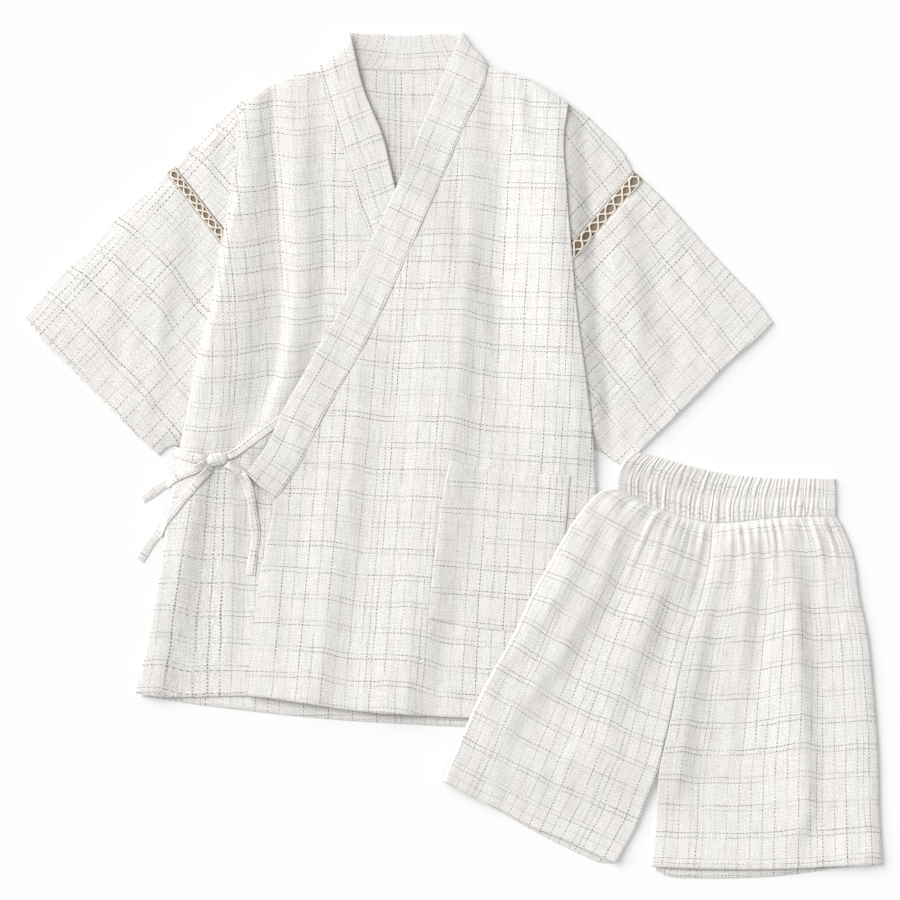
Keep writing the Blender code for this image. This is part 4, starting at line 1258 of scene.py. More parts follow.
POCKET_GRAIN = GuidedGrain((0, 170), LEFT_GUIDES, falls=(0.045, 0.1), shift=(3.0, -4.0))
SLEEVE_GRAINS = {
    "right": CrossedGrain((-397.3, 219.1), 46.8, -47.5, 1.09, 1.26),
    "left": CrossedGrain((267.4, 231.8), 46.4, -51.0, 1.11, 1.02),
}
LEG_GRAINS = {
    "right": FannedGrain(230.0, 420.0, (8.0, 6.0)),
    "left": FannedGrain(262.0, 395.0, (0.0, 12.0)),
}


# ---------------- cloth


@dataclass
class Panel:
    """One panel of cloth: where it lies, what it is sewn to and how its weave runs."""
    name: str
    outline: Outline
    grain: Grain
    seams: tuple[str, ...] = ()  # sides sewn to the next piece
    tight: tuple[str, ...] = ()  # sides held down
    folds: Sequence[Fold] = ()
    wall: float = CLOTH
    reach: float = REACH
    gap: float = SEAM
    step: float = 4.0  # spacing of the grid
    corner: str = ""  # side with a corner that the grid's rows have to meet
    held: Held = Held.LAID
    rests_on: tuple[str, ...] = ()
    seed: int = 1
    unevenness: float = 0.35
    air: float = AIR
    lifted: float = 0.0  # rise of the hem
    rim: float = 2.5  # width over which a tight side comes down
    waves: Sequence[Wave] = ()
    bowed: float = 0.85  # share of the waves' height that doesn't draw the wefts up
    body: Pile | None = None  # what the panel eases over, if not the whole pile
    upper: Array = field(init=False, repr=False)

    def planned(self) -> Plan:
        """The panel's grid, its points about a step apart and its seams drawn in.

        Returns:
            The grid.
        """
        width = max(length_of(self.outline.top), length_of(self.outline.bottom))
        height = max(length_of(self.outline.left), length_of(self.outline.right))
        breaks = (corner_place(getattr(self.outline, self.corner)),) if self.corner else ()
        across, down = spread(width, self.step), spread(height, self.step, breaks)
        return Plan(drawn_in(patch(self.outline, across, down), self.seams, self.gap / 2), across, down)

    def rise(self, plan: Plan) -> Array:
        """Height of the folds and of the cloth's unevenness over what it lies on.

        Args:
            plan: the panel's grid.

        Returns:
            Heights in millimetres.
        """
        uneven = self.unevenness * (1 + ripple(plan.points, 30.0, 120.0, self.seed))
        hem = self.lifted * np.exp(-(edge_distance(plan.points, "bottom") / HEM) ** 2)
        return fold_rise(plan.points, self.folds) + wave_rise(plan.points, self.waves) + uneven + hem

    def laid(self, pile: Pile, plan: Array, rise: Array) -> Array:
        """Lower surface: eased over the pile, its tight sides brought down to what is close under them.

        Args:
            pile: what is already down.
            plan: points in millimetres.
            rise: height of the folds.

        Returns:
            Points in millimetres.
        """
        body = self.body or pile
        lift, near = body.over(plan, self.reach), body.over(plan, SMALL_REACH)
        for side in self.tight:
            share = off_edge(plan, side, RIM if side == "left" else self.rim)
            lift = near * (1 - share) + lift * share
            if side != "left":
                rise = rise * (EASED + (1 - EASED) * off_edge(plan, side, EASING))
        return raised(plan, pile.cleared(plan, lift + np.minimum(self.air, lift) + rise))

    def woven(self, plan: Plan, rise: Array) -> Array:
        """Grain coordinates, the wefts drawn up by the folds and less by the waves.

        Args:
            plan: the panel's grid.
            rise: height of the folds and waves.

        Returns:
            A pair in millimetres for each point.
        """
        grain = self.grain.at(plan)
        grain[..., 1] += RISE_OF_WEFT * (rise - self.bowed * wave_rise(plan.points, self.waves))
        return grain

    def build(self, pile: Pile, finishes: Finishes) -> None:
        """Makes the panel, with a wall, on the pile.

        Args:
            pile: what is already down.
            finishes: the set's finishes.
        """
        plan = self.planned()
        rise = self.rise(plan)
        surface = self.laid(pile, plan.points, rise)
        self.upper = lifted(surface, self.wall)
        shape = wall_mesh(surface, self.wall, self.seams)
        piece = make_piece(f"{self.name}_cloth", shape, self.woven(plan, rise), finishes.cloth, self.name)


@dataclass
class Tube:
    """A tube of cloth pressed flat on the pile, its folded edges rounded."""
    plan: Array  # rows of points, each across the tube from fold to fold
    wall: float
    reach: float
    spacing: int  # columns of the front for each of the plainer back
    push: float = 8.0  # width over which the inner skin is pushed in at the folds
    cuff_drop: float = 0.1  # how far the front's open end drops, in walls

    @property
    def back(self) -> Array:
        """Columns that the back has between the folds."""
        return np.arange(2, self.plan.shape[1] - 2, self.spacing)

    def skins(self, pile: Pile, rise: Array) -> list[Array]:
        """Outer and inner skins: the front and the back meet half way up, along a quarter of a circle.

        Args:
            pile: what is already down.
            rise: height of the folds of the front.

        Returns:
            Rings of the outer skin and rings of the inner skin.
        """
        plan, wall = self.plan, self.wall
        lift = pile.over(plan, self.reach)
        floor = pile.cleared(plan, lift + np.minimum(AIR, lift))
        crown = floor + 2 * wall + CAVITY + rise
        middle = (floor + crown) / 2
        edge = np.minimum(edge_distance(plan, "left"), edge_distance(plan, "right"))
        share = np.sqrt(1 - (1 - np.clip(edge / (wall + ROUND), 0, 1)) ** 2)
        inside = plan
        for side in ("left", "right"):
            inside = pushed_in(inside, side, FOLD_WALL * wall, self.push)
        skins = []
        for line, depth in ((plan, 0.0), (inside, wall)):
            front = middle + (crown - middle - depth) * share
            back = middle - (middle - floor - depth) * share
            front[-1] -= self.cuff_drop * wall * (depth == 0)
            skins.append(self.round(raised(line, front), raised(line, back)))
        return skins

    def round(self, front: Array, back: Array) -> Array:
        """Rings of the tube: the front's rows, then the back's in its own columns, the other way."""
        return np.concatenate([front, back[:, self.back][:, ::-1]], axis=1)

    def build(self, name: str, pile: Pile, rise: Array, grain: Array,
              finish: Finish) -> tuple[Object, Array]:
        """Makes the tube.

        Args:
            name: the node that it stands for.
            pile: what is already down.
            rise: height of the folds of the front.
            grain: grain coordinates of the front, which the back shares.
            finish: its finish.

        Returns:
            The piece, and the front's surface.
        """
        outer, inner = self.skins(pile, rise)
        piece = make_piece(f"{name}_cloth", ring_mesh(outer, inner), self.round(grain, grain), finish, name)
        return piece, outer[:, :self.plan.shape[1]]


@dataclass
class Sleeve(Panel):
    """A flat sleeve or a ring of one, its outline's top and bottom being the folds."""
    side: str = "right"
    tape: bool = False
    loft: float = 1.0  # slight puff between the folded edges
    easing: float = 16.0  # width over which the folds of cloth rise from a folded edge
    puffing: float = 30.0  # width over which the puff rises

    def rise(self, plan: Plan) -> Array:
        """Folds, waves and unevenness, none of them at the folded edges, and a slight puff between the edges.

        Args:
            plan: the sleeve's grid.

        Returns:
            Heights in millimetres.
        """
        sleeve = SLEEVES[self.side]
        shoulder = (*SLEEVE_HEADS[self.side].top, *TAPES[self.side].top, *sleeve.top)
        edge = np.minimum(distance_to(plan.points, shoulder), distance_to(plan.points, sleeve.bottom))
        return super().rise(plan) * smooth(edge / self.easing) + self.loft * smooth(edge / self.puffing)

    def planned(self) -> Plan:
        """The sleeve's grid, its rows across the tube from fold to fold, with one more line by each fold.

        Returns:
            The grid.
        """
        across, down = super().planned()[1:]
        rim = SECOND_RIM * down[1]
        down = np.unique(np.concatenate([down, [rim, 1 - rim]]))
        points = np.swapaxes(patch(self.outline, across, down), 0, 1)
        return Plan(drawn_in(points, self.seams, self.gap / 2), down, across)

    def build(self, pile: Pile, finishes: Finishes) -> None:
        """Makes the sleeve as a tube with a wall, on the floor.

        Args:
            pile: what is already down.
            finishes: the set's finishes.
        """
        plan = self.planned()
        rise = self.rise(plan)
        tube = Tube(plan.points, self.wall, self.reach, 3)
        finish = finishes.tape if self.tape else finishes.cloth
        piece, self.upper = tube.build(self.name, pile, rise, self.woven(plan, rise), finish)


@dataclass
class Leg(Panel):
    """A front leg of the shorts, sewn to the waistband, with small pleats that run out of its gathers."""
    middle: str = "right"  # side at the centre seam
    waist: Array | None = None  # the waistband's lower edge
    seam_ease: float = 6.0  # how far below the waist seam the leg leaves the band's height
    fold_ease: float = 26.0  # how far below it the folds have their full height
    fold_share: float = 0.4  # share of that height at the seam
    pleats: int = 16
    pleat_height: float = 3.2
    pleat_length: float = 50.0
    pleat_ease: float = 9.0  # how far below the seam the pleats have their full height
    pleat_share: float = 0.45  # share of that height at the seam
    slopes: Point = (1.7, 0.6)  # widths of a pleat's left and right slopes
    side_ease: float = 12.0  # how far from the centre seam the pleats are full
    gathers: float = 24.0  # small gathers between the pleats
    gather_height: float = 0.8
    gather_length: float = 11.0

    def laid(self, pile: Pile, plan: Array, rise: Array) -> Array:
        """Lower surface, its top edge brought level with the waistband's lower edge.

        Args:
            pile: what is already down.
            plan: points in millimetres.
            rise: height of the folds.

        Returns:
            Points in millimetres.
        """
        height = super().laid(pile, plan, rise)[..., 2]
        seam = np.interp(plan[0, :, 0], self.waist[:, 0], self.waist[:, 2]) - self.wall
        share = off_edge(plan, "top", self.seam_ease)
        return raised(plan, pile.cleared(plan, seam * (1 - share) + height * share))

    def rise(self, plan: Plan) -> Array:
        """Folds, unevenness and pleats: each pleat a bell across the leg that fades below the waist seam.

        Args:
            plan: the leg's grid.

        Returns:
            Heights in millimetres.
        """
        below = edge_distance(plan.points, "top")
        share = self.fold_share + (1 - self.fold_share) * smooth(below / self.fold_ease)
        total = super().rise(plan) * share
        rng = np.random.default_rng(len(self.name) + self.seed)
        inside = off_edge(plan.points, self.middle, self.side_ease)
        share = self.pleat_share + (1 - self.pleat_share) * smooth(below / self.pleat_ease)
        for number in range(self.pleats):
            centre = (number + rng.uniform(0.2, 0.8)) / self.pleats
            lean, width = rng.uniform(-0.02, 0.02), rng.uniform(0.14, 0.26) / self.pleats
            height = self.pleat_height * rng.uniform(0.3, 1.0) * inside
            length = self.pleat_length * rng.uniform(0.5, 1.4)
            place = (plan.across[None, :] - centre - lean * below / length) / width
            place = np.where(place < 0, place / self.slopes[0], place / self.slopes[1])
            total = total + height * np.exp(-place**2) * np.exp(-(below / length) ** 1.5) * share
        turn = self.gathers * (plan.across + 0.02 * np.sin(17 * plan.across))[None, :]
        sizes = rng.uniform(0.2, 1.0, int(self.gathers) + 2)[turn.astype(int)]
        small = np.sin(math.pi * (turn % 1) ** 1.5) * sizes
        return total + self.gather_height * small * inside * np.exp(-(below / self.gather_length) ** 1.5)


@dataclass
class Waistband:
    """The elastic waistband: a flat casing whose front is drawn into gathers and sewn down along its middle."""
    name: str = "waistband"
    gathers: int = 50
    columns: int = 8  # steps of the grid in a gather
    rows: int = 26
    rim: float = 0.468  # from the band's edge to the next row, in rows
    height: float = 1.25
    widths: Point = (0.55, 1.5)  # of a gather, in mean widths
    sizes: Point = (0.25, 1.0)  # of a gather, in heights
    skew: float = 1.5  # 1 where a ridge is even, more where it leans right
    fullness: float = 0.65  # less for rounder ridges
    lean: float = 1.1  # of the gathers at the left end, in gathers
    upright: float = 0.6  # where along the band they no longer lean
    wander: float = 0.4  # how far a gather strays sideways, in gathers
    stitched: tuple[float, ...] = (-0.03, 0.5, 1.03)  # lines of stitching, down the band
    stitch_width: float = 0.055
    pinch: float = 0.5  # share of the height lost at the stitching
    puff: float = 0.3  # rise of the cloth between the seams
    draw: float = 5.0  # how far a gather draws the wefts up
    seed: int = 5
    grain: Grain = FannedGrain(520.0, 60.0, (5.0, 6.0))
    rests_on: tuple[str, ...] = ("shorts_back_right_cloth", "shorts_back_left_cloth")
    upper: Array = field(init=False, repr=False)

    def rise(self, plan: Plan) -> Array:
        """Height of the gathers: rounded ridges of uneven height, pinched where they are stitched.

        Args:
            plan: the band's grid.

        Returns:
            Heights in millimetres.
        """
        across, down = plan.across, plan.down
        rng = np.random.default_rng(self.seed)
        lean = self.lean * np.clip(self.upright - across, 0, 1)[None, :] * (0.5 - down)[:, None]
        widths = rng.uniform(*self.widths, self.gathers)
        ends = np.concatenate([[0], np.cumsum(widths)]) / widths.sum()
        shifts = rng.uniform(-self.wander, self.wander, (4, self.gathers + 1)) / self.gathers
        shifts[:, [0, -1]] = 0
        rows = [np.interp(across, ends + shift, np.arange(self.gathers + 1)) for shift in shifts]
        place = down[:, None] * 3
        phase = sum(row[None, :] * np.clip(1 - np.abs(place - index), 0, 1) for index, row in enumerate(rows))
        phase = np.clip(phase + lean, 0, self.gathers)
        number = np.clip(phase.astype(int), 0, self.gathers - 1)
        upper_half, lower_half = rng.uniform(*self.sizes, (2, self.gathers + 1))
        share = smooth((down[:, None] - 0.35) / 0.3)
        swell = upper_half[number] * (1 - share) + lower_half[number] * share
        ridge = np.abs(np.sin(math.pi * (phase - number) ** self.skew)) ** self.fullness * swell
        near = np.min([np.abs(down - line) for line in self.stitched], axis=0)[:, None]
        held = 1 - self.pinch * np.exp(-(near / self.stitch_width) ** 2)
        edge = np.clip(self.gathers / 4 * np.minimum(across, 1 - across), 0, 1)[None, :]
        puff = self.puff * np.abs(np.sin(2 * math.pi * down))[:, None] ** 0.6
        return (self.height * ridge * held + puff) * edge

    def build(self, pile: Pile, finishes: Finishes) -> None:
        """Makes the band on the pile.

        Args:
            pile: what is already down.
            finishes: the set's finishes.
        """
        across = np.linspace(0, 1, self.gathers * self.columns + 1)
        down = spread(self.rows, 1.0, rim=self.rim)
        plan = Plan(drawn_in(patch(WAISTBAND, across, down), ("bottom",), SEAM / 2), across, down)
        rise, grain = self.rise(plan), self.grain.at(plan)
        grain[..., 1] += self.draw * rise
        tube = Tube(plan.points, BAND, SHORTS_REACH, 6)
        piece, self.upper = tube.build(self.name, pile, rise, grain, finishes.cloth)


# ---------------- braid, ties and stitches


def swept(path: Array, width: float, height: float, sides: int = 8) -> Mesh:
    """A closed flattened cord: an oval carried along a path, its flat way level.

    Args:
        path: points in millimetres.
        width: the oval's level size.
        height: the oval's upright size.
        sides: corners of the oval.

    Returns:
        Points and faces.
    """
    beside = raised(leftward(headings(path[:, :2])), np.zeros(len(path)))
    angle = np.arange(sides) * 2 * math.pi / sides
    upright = np.array([0.0, 0.0, height / 2])
    rings = (path[:, None] + beside[:, None] * (np.cos(angle) * width / 2)[None, :, None]
             + upright * np.sin(angle)[None, :, None])
    faces = grid_faces(len(path), sides, wrap=True).tolist()
    last = (len(path) - 1) * sides
    return rings.reshape(-1, 3), [*faces, list(range(sides)), list(range(last, last + sides))]


def joined(parts: Sequence[Mesh]) -> Mesh:
    """Several meshes as one.

    Args:
        parts: the meshes.

    Returns:
        Points and faces.
    """
    firsts = np.cumsum([0] + [len(points) for points, _ in parts]).tolist()
    faces = [[corner + first for corner in face] for (_, part), first in zip(parts, firsts) for face in part]
    return np.concatenate([points for points, _ in parts]), faces


@dataclass
class Braid:
    """Openwork braid on its tape: two threads that cross in diamonds, over and under, between two rails."""
    side: str
    diamonds: int = 9
    points: int = 20  # points of a thread in a diamond
    border: float = 2.8  # from the tape's edge to the diamonds
    margin: float = 1.6  # from the tape's end to the diamonds
    thread: float = 2.2
    rail: float = 1.5
    thickness: float = 1.1
    clearance: float = 0.35

    def build(self, pile: Pile, finishes: Finishes) -> None:
        """Makes the braid on the tape.

        Args:
            pile: what is already down.
            finishes: the set's finishes.
        """
        tape = TAPES[self.side]
        upper, lower = np.array(tape.left, float), np.array(tape.right, float)
        start, end = (upper[0] + lower[0]) / 2, (upper[1] + lower[1]) / 2
        length = float(np.linalg.norm(end - start))
        direction = (end - start) / length
        across = np.array([-direction[1], direction[0]])
        inner = abs(float((upper[0] - lower[0]) @ across)) / 2 - self.border
        lift = self.clearance + self.thickness / 2
        place = np.linspace(0, self.diamonds, self.diamonds * self.points + 1)
        swing = np.sin(math.pi * (place + 0.05 * np.sin(4.3 * place))) * (0.93 + 0.07 * np.sin(2.7 * place))
        weave = 0.4 * self.thickness * np.cos(math.pi * place)
        along = self.margin + place / self.diamonds * (length - 2 * self.margin)
        straight = np.linspace(0.4, length - 0.4, 60)
        rail_way = 0.15 * np.sin(straight * 2 * math.pi / 3.1)
        parts = []
        for sign in (1, -1):
            edge = sign * (inner + 0.5 * self.margin)
            for run, beside, above, width in ((along, sign * inner * swing, sign * weave + 0.4, self.thread),
                                              (straight, edge + rail_way, 0.0, self.rail)):
                centre = start + run[:, None] * direction
                path = raised(centre + beside[:, None] * across, pile.over(centre, 0) + lift + above)
                parts.append(swept(path, width, self.thickness))
        make_piece(f"braid_{self.side}_threads", joined(parts), None, finishes.braid, f"braid_{self.side}")


@dataclass
class Knot:
    """The tied knot: a flattened ball with grooves between its wraps."""
    centre: Point = (-272.5, -6.0)
    size: tuple[float, float, float] = (24.0, 15.5, 3.9)
    turn: float = 10.0  # degrees
    crease: float = 0.26  # how far from the middle the two grooves run, of the half length
    crease_width: float = 0.07
    groove: float = 0.16  # depth of the grooves, of the radius
    flat: float = 0.6  # how far down the flat underside lies, of the half height
    rows: int = 40
    columns: int = 56

    def shape(self, ball: Array) -> tuple[Array, Array]:
        """Plan of the knot and its height off the front, for points of a ball of radius 1.

        Args:
            ball: the points.

        Returns:
            Points in the plan, and heights.
        """
        x, y, z = ball.T
        slant = np.abs(x + 0.16 * y - 0.05)
        wrap = 1 - self.groove * np.exp(-((slant - self.crease) / self.crease_width) ** 2) - 0.1 * slant
        turn = math.radians(self.turn)
        level = np.stack([x * self.size[0], y * wrap * (1 + 0.3 * x**2) * self.size[1]], axis=-1) / 2
        turned = level @ np.array([[math.cos(turn), math.sin(turn)], [-math.sin(turn), math.cos(turn)]])
        height = np.maximum(z * wrap, -self.flat) + self.flat
        return turned + np.array(self.centre), height / (1 + self.flat) * self.size[2]

    def root(self, toward: Point, inset: float = 1.5) -> Point:
        """Where a tie begins that leaves the knot towards a point: just under the knot's widest line.

        Args:
            toward: the point.
            inset: how far inside the widest line it begins.

        Returns:
            Its place in the plan.
        """
        angle = np.linspace(0, 2 * math.pi, 60)
        rim_line = self.shape(np.stack([np.cos(angle), np.sin(angle), 0 * angle], axis=-1))[0]
        away = np.array(toward, float) - self.centre
        away /= np.linalg.norm(away)
        reach = float(((rim_line - self.centre) @ away).max())
        return tuple(np.array(self.centre) + (reach - inset) * away)

    def build(self, pile: Pile, finishes: Finishes) -> Object:
        """Makes the knot on the front, its rings running from one end to the other.

        Args:
            pile: what is already down.
            finishes: the set's finishes.

        Returns:
            The piece.
        """
        bend = np.linspace(0, math.pi, self.rows + 2)[1:-1, None]
        angle = np.arange(self.columns) * 2 * math.pi / self.columns
        rings = np.stack([np.broadcast_to(np.cos(bend), (self.rows, self.columns)),
                          np.sin(bend) * np.cos(angle), np.sin(bend) * np.sin(angle)], axis=-1)
        ball = np.concatenate([rings.reshape(-1, 3), [[1.0, 0.0, 0.0], [-1.0, 0.0, 0.0]]])
        plan, height = self.shape(ball)
        points = raised(plan, height + pile.over(plan, 0) + AIR)
        count = self.rows * self.columns
        last = count - self.columns
        number, tip = np.arange(self.columns), np.full(self.columns, count)
        following = np.roll(number, -1)
        fans = np.stack([[number, following, tip], [following + last, number + last, tip + 1]])
        faces = [*grid_faces(self.rows, self.columns, wrap=True).tolist(),
                 *fans.transpose(0, 2, 1).reshape(-1, 3).tolist()]
        grain = np.stack([ball[:, 1] * 9.0 + 30.0, ball[:, 0] * 24.0 + ball[:, 1] * 4.0], axis=-1)
        return make_piece("tie_knot_cloth", (points, faces), grain, finishes.cloth, "tie_knot")


@dataclass
class Tie:
    """One visible stretch of a tie: a folded strip with soft edges, narrower at its root by the knot."""
    name: str
    middle: Line
    seed: int
    width: float = 10.3
    root_width: float = 8.0
    root_length: float = 14.0
    arch: float = 1.3  # how high the strip arches off the front just after its root
    arch_length: float = 24.0
    columns: int = 9
    step: float = 2.5
    rests_on: tuple[str, ...] = ("front_left_cloth",)

    def build(self, pile: Pile, knot: Knot, finishes: Finishes,
              with_pieces: Sequence[Object] = ()) -> None:
        """Makes the strip on the pile: thickest along its middle, with a groove where its edges are turned in.

        Args:
            pile: what is already down.
            knot: the knot that it leaves.
            finishes: the set's finishes.
            with_pieces: not used.
        """
        line = (knot.root(self.middle[0]), *self.middle)
        length = length_of(line)
        places = spread(length, self.step)
        path = curve(line, places)
        run = places * length
        rng = np.random.default_rng(self.seed)
        uneven = 1 + 0.06 * np.sin(run / rng.uniform(5, 8) + rng.uniform(0, 6))
        width = np.interp(run, (0, self.root_length), (self.root_width, self.width)) * uneven
        share = 0.5 * np.sin(np.linspace(-0.5, 0.5, self.columns) * math.pi)
        plan = path[:, None] + leftward(headings(path))[:, None] * (width[:, None] * -share[None, :])[..., None]
        curl = 0.5 * np.sin(run[:, None] / 9 + share[None, :] * 3 + rng.uniform(0, 6)) + 0.5
        arch = self.arch * smooth(run / 5) * np.exp(-(run / self.arch_length) ** 2)
        height = pile.cleared(plan, pile.over(plan, 0) + AIR * (0.15 + 0.3 * curl) + arch[:, None])
        bulge = np.sqrt(np.clip(1 - (2 * share) ** 2, 0, 1))
        wall = BAND * (0.2 + 0.22 * bulge - 0.06 * np.exp(-((share - 0.12) / 0.1) ** 2))[None, :] + 0 * height
        surface = raised(plan, height)
        grain = np.stack([share[None, :] * width[:, None] + 1.0 + 28.0 * self.seed,
                          np.broadcast_to(run[:, None] + 9.0 * self.seed, height.shape)], axis=-1)
        piece = make_piece(f"{self.name}_cloth", wall_mesh(surface, wall), grain, finishes.cloth, self.name)
        pile.add(lifted(surface, wall))


@dataclass
class Stitching:
    """Rows of small stitches, each a spindle that lies half in the cloth."""
    length: float = 2.4
    gap: float = 0.9
    width: float = 0.5
    height: float = 0.34
    lead: float = 0.2  # where the first stitch starts, in pitches
    parts: list[tuple[Array, Array]] = field(default_factory=list)

    def along(self, line: Array) -> None:
        """Adds a row of stitches along a line, at an even pitch of its length.

        Args:
            line: points in millimetres.
        """
        run = np.concatenate([[0], np.cumsum(np.linalg.norm(np.diff(line, axis=0), axis=-1))])
        pitch = self.length + self.gap
        starts = (np.arange(int(run[-1] // pitch)) + self.lead) * pitch
        first, last = (np.stack([np.interp(places, run, line[:, axis]) for axis in range(3)], axis=-1)
                       for places in (starts, starts + self.length))
        self.parts.append((first, last))

    def build(self, finishes: Finishes) -> None:
        """Makes all rows as one mesh: each stitch has two tips and a ring of four points.

        Args:
            finishes: the set's finishes.
        """
        first, last = (np.concatenate(ends) for ends in zip(*self.parts))
        heading = (last - first) / np.linalg.norm(last - first, axis=-1, keepdims=True)
        beside = raised(leftward(heading), 0 * heading[:, 0]) * self.width / 2
        up = np.array([[0.0, 0.0, self.height]])
        middle = (first + last) / 2
        corners = np.stack([first, middle + beside, middle + up, middle - beside, middle - up, last], axis=1)
        spindle = np.array([[0, 1, 2], [0, 2, 3], [0, 3, 4], [0, 4, 1],
                            [5, 2, 1], [5, 3, 2], [5, 4, 3], [5, 1, 4]])
        faces = (spindle[None] + 6 * np.arange(len(first))[:, None, None]).reshape(-1, 3)
        make_piece("stitching", (corners.reshape(-1, 3), faces.tolist()), None, finishes.stitch, None)


# ---------------- studio


@dataclass(frozen=True)
class Studio:
    """Pale, softly lit floor, one soft key light from the upper left, a bright surround, and a camera above."""
    middle: Point = (-0.0041, 0.0048)
    frame_width: float = 1.035
    lens: float = 200.0
    sensor: float = 36.0
    floor_side: float = 12.0
    floor_drop: float = 0.0003
    floor_colour: Colour = (0.7, 0.7, 0.7, 1)
    floor_glow: float = 0.234
    key_from: tuple[float, float, float] = (-1.0, 0.62, 0.72)
    key_spread: float = 52.0
    key_strength: float = 3.55
    surround: float = 0.485
    white: Colour = (1, 1, 1, 1)

    def build(self) -> None:
        """Makes the floor, the lights and the camera."""
        self.add_floor()
        self.add_lights()
        self.add_camera()

    def add_floor(self) -> None:
        """Makes a square floor just under the set, which glows a little so that shadows stay soft."""
        half = self.floor_side / 2
        mesh = bpy.data.meshes.new("floor")
        corners = [(x * half, y * half, -self.floor_drop) for x, y in ((-1, -1), (1, -1), (1, 1), (-1, 1))]
        mesh.from_pydata(corners, [], [(0, 1, 2, 3)])
        graph = Graph("floor")
        graph.feed(graph.shader.inputs["Emission Color"], self.white)
        graph.feed(graph.shader.inputs["Emission Strength"], self.floor_glow)
        mesh.materials.append(graph.finish(self.floor_colour, 0.9))
        floor = bpy.data.objects.new("floor", mesh)
        bpy.context.scene.collection.objects.link(floor)

    def add_lights(self) -> None:
        """Makes the key light and the surround."""
        scene = bpy.context.scene
        light = bpy.data.lights.new("key", "SUN")
        light.angle = math.radians(self.key_spread)
        light.energy = self.key_strength
        key = bpy.data.objects.new("key", light)
        key.location = self.key_from
        key.rotation_euler = (-Vector(self.key_from)).to_track_quat("-Z", "Y").to_euler()
        scene.collection.objects.link(key)
        scene.world = bpy.data.worlds.new("surround")
        scene.world.use_nodes = True
        background = scene.world.node_tree.nodes["Background"]
        background.inputs["Color"].default_value = self.white
        background.inputs["Strength"].default_value = self.surround

    def add_camera(self) -> None:
        """Makes the camera, straight above and looking down."""
        scene = bpy.context.scene
        camera = bpy.data.objects.new("camera", bpy.data.cameras.new("camera"))
        camera.data.lens = self.lens
        camera.data.sensor_width = self.sensor
        camera.data.clip_end = 100.0
        camera.location = (*self.middle, self.lens / self.sensor * self.frame_width)
        scene.collection.objects.link(camera)
        scene.camera = camera
        scene.view_settings.view_transform = "Standard"


# ---------------- the set


def jacket_floor() -> list[Panel]:
    """The pieces that lie on the floor: sleeves, their heads and tapes, the back and its collar.

    Returns:
        The pieces, the back and its collar last.
    """
    pieces: list[Panel] = []
    for seed, side in ((21, "right"), (22, "left")):
        shared = {"side": side, "waves": SLEEVE_WAVES[side], "seed": seed}
        cloth = {"gap": SEAM - 2 * NARROWED, **shared}
        heads, weave = SLEEVE_HEAD_FOLDS[side], SLEEVE_GRAINS[side]
        pieces += [
            Sleeve(f"sleeve_head_{side}", SLEEVE_HEADS[side], weave, ("bottom",), folds=heads, **cloth),
            Sleeve(f"braid_tape_{side}", TAPES[side], CrossedGrain(), ("top", "bottom"), folds=heads,
                   gap=SEAM + 2 * NARROWED, tape=True, step=3.0, **shared),
            Sleeve(f"sleeve_{side}", SLEEVES[side], weave, ("top",), folds=SLEEVE_FOLDS[side], corner="left",
                   **cloth)]
    back = {"folds": BACK_FOLDS, "unevenness": 0.0}
    return [*pieces,
            Panel("back_panel", BACK, CrossedGrain((-60.0, 440.0)), ("top",), step=6.0, **back),
            Panel("collar_back", BACK_BAND, FannedGrain(150.0, 42.0, (3.0, 6.0)), ("bottom",), wall=BAND,
                  step=3.0, **back)]


def right_front(body: Pile) -> list[Panel]:
    """The under front and its stretch of the collar."""
    shared = {"body": body, "waves": RIGHT_FRONT_WAVES, "rests_on": ("back_panel_cloth",)}
    return [Panel("front_right", RIGHT_FRONT, FRONT_RIGHT_GRAIN, ("right",), ("top",), RIGHT_FRONT_FOLDS,
                  corner="right", bowed=1.9, seed=41, **shared),
            Panel("collar_right", RIGHT_BAND, FannedGrain(46.0, 590.0, (-4.5, 4.0), True), ("left",), ("top",),
                  RIGHT_FRONT_FOLDS, wall=BAND, step=3.0, seed=42, **shared)]


def left_front(body: Pile) -> list[Panel]:
    """The over front and its stretch of the collar."""
    shared = {"body": body, "waves": LEFT_FRONT_WAVES, "rests_on": ("front_right_cloth",),
              "reach": FRONT_REACH}
    return [Panel("front_left", LEFT_FRONT, FRONT_LEFT_GRAIN, ("left",), ("top",), LEFT_FRONT_FOLDS,
                  corner="left", seed=51, **shared),
            Panel("collar_left", LEFT_BAND, FannedGrain(-46.0, 640.0, (-14.5, 12.0), True), ("right",),
                  ("top",), LEFT_FRONT_FOLDS, wall=BAND, step=3.0, seed=52, **shared)]


def leg_backs() -> list[Panel]:
    """The back panels of the shorts, under the front ones."""
    return [Panel(f"shorts_back_{side}", outline, LEG_GRAINS[side], ("top", side), reach=SHORTS_REACH, gap=1.2,
                  step=6.0, corner=side, rests_on=("front_left_cloth",), unevenness=0.1, seed=61)
            for side, outline in LEG_BACKS.items()]


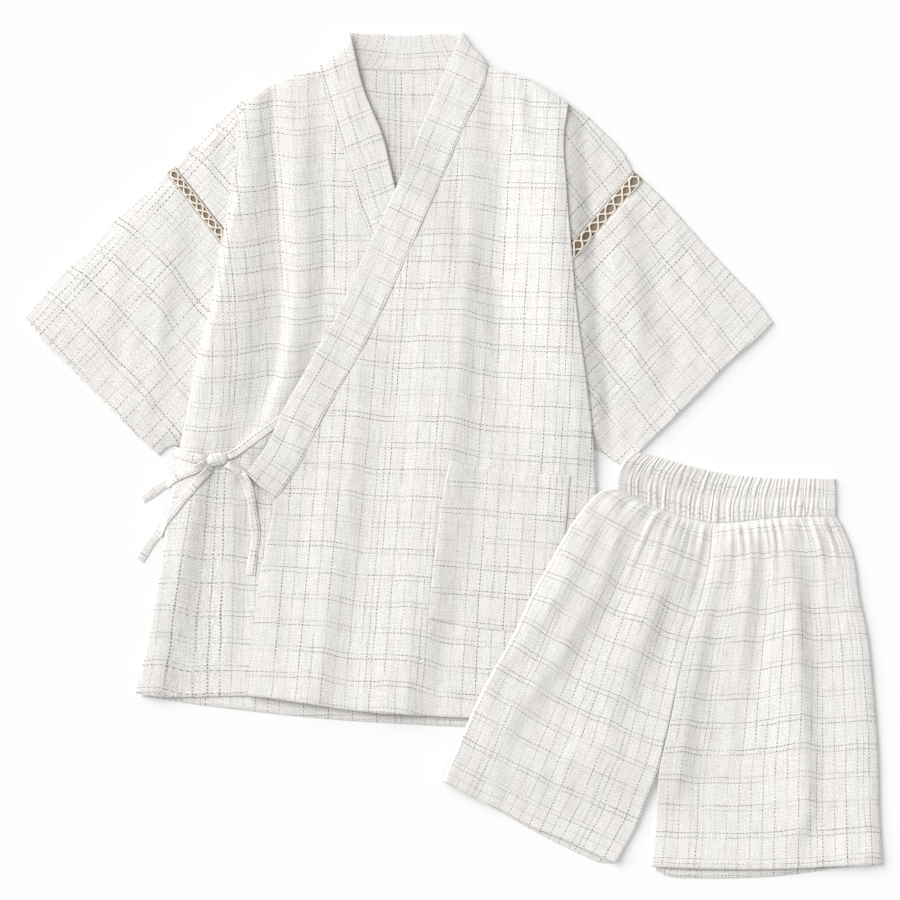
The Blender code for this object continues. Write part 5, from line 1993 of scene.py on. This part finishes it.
def leg_fronts(waist: Array) -> list[Leg]:
    """The front panels of the shorts, sewn to the waistband's lower edge."""
    return [Leg(f"shorts_front_{side}", LEG_FRONTS[side], LEG_GRAINS[side], ("top", side), (loose,),
                LEG_FOLDS, reach=SHORTS_REACH, corner=side, rests_on=(f"shorts_back_{side}_cloth",),
                held=Held.GATHERED, seed=71, lifted=2.2, rim=7.0, air=0.2, middle=side, waist=waist)
            for side, loose in (("right", "left"), ("left", "right"))]


def lay(pile: Pile, panels: Sequence[Panel], finishes: Finishes) -> None:
    """Builds panels that lie side by side, then adds them to the pile.

    Args:
        pile: what is already down.
        panels: the panels.
        finishes: the set's finishes.
    """
    for panel in panels:
        panel.build(pile, finishes)
    for panel in panels:
        pile.add(panel.upper)


def main() -> None:
    """Lays the jacket from the floor up, its ties and the shorts over its corner, and lights the scene."""
    finishes, pile, body = make_finishes(), Pile(), Pile()
    floor_pieces = jacket_floor()
    lay(pile, floor_pieces, finishes)
    for side in ("right", "left"):
        Braid(side).build(pile, finishes)
    for panel in floor_pieces[-2:]:
        body.add(panel.upper)
    under, over = right_front(body), left_front(body)
    lay(pile, under, finishes)
    for panel in under:
        body.add(panel.upper)
    knot = Knot()
    outer, *others = (Tie(name, middle, seed) for seed, (name, middle) in enumerate(TIES.items()))
    outer.rests_on = ("front_right_cloth",)
    outer.build(pile, knot, finishes, (knot.build(pile, finishes),))
    lay(pile, over, finishes)
    pocket = Panel("pocket", POCKET, POCKET_GRAIN, wall=0.4, reach=SMALL_REACH, rests_on=("front_left_cloth",),
                   seed=55, unevenness=0.05, air=0.05)
    lay(pile, [pocket], finishes)
    for tie in others:
        tie.build(pile, knot, finishes)
    backs, band = leg_backs(), Waistband()
    for panel in backs:
        panel.build(pile, finishes)
    band.build(pile, finishes)
    for panel in backs:
        pile.add(panel.upper)
    lay(pile, leg_fronts(band.upper[-1]), finishes)
    stitching = Stitching()
    for panel, side in ((under[1], "left"), (over[1], "right"), (floor_pieces[-1], "bottom")):
        stitching.along(line_inside(panel.upper, side, 1.8))
    for side in ("left", "right", "bottom"):
        stitching.along(line_inside(pocket.upper, side, 2.0))
    for row in (0.5, 0.95, 1.0):
        stitching.along(band.upper[int(row * (len(band.upper) - 1))])
    stitching.build(finishes)
    Studio().build()


if __name__ == "__main__":
    logging.basicConfig(level=logging.INFO, format="%(name)s: %(message)s")
    main()
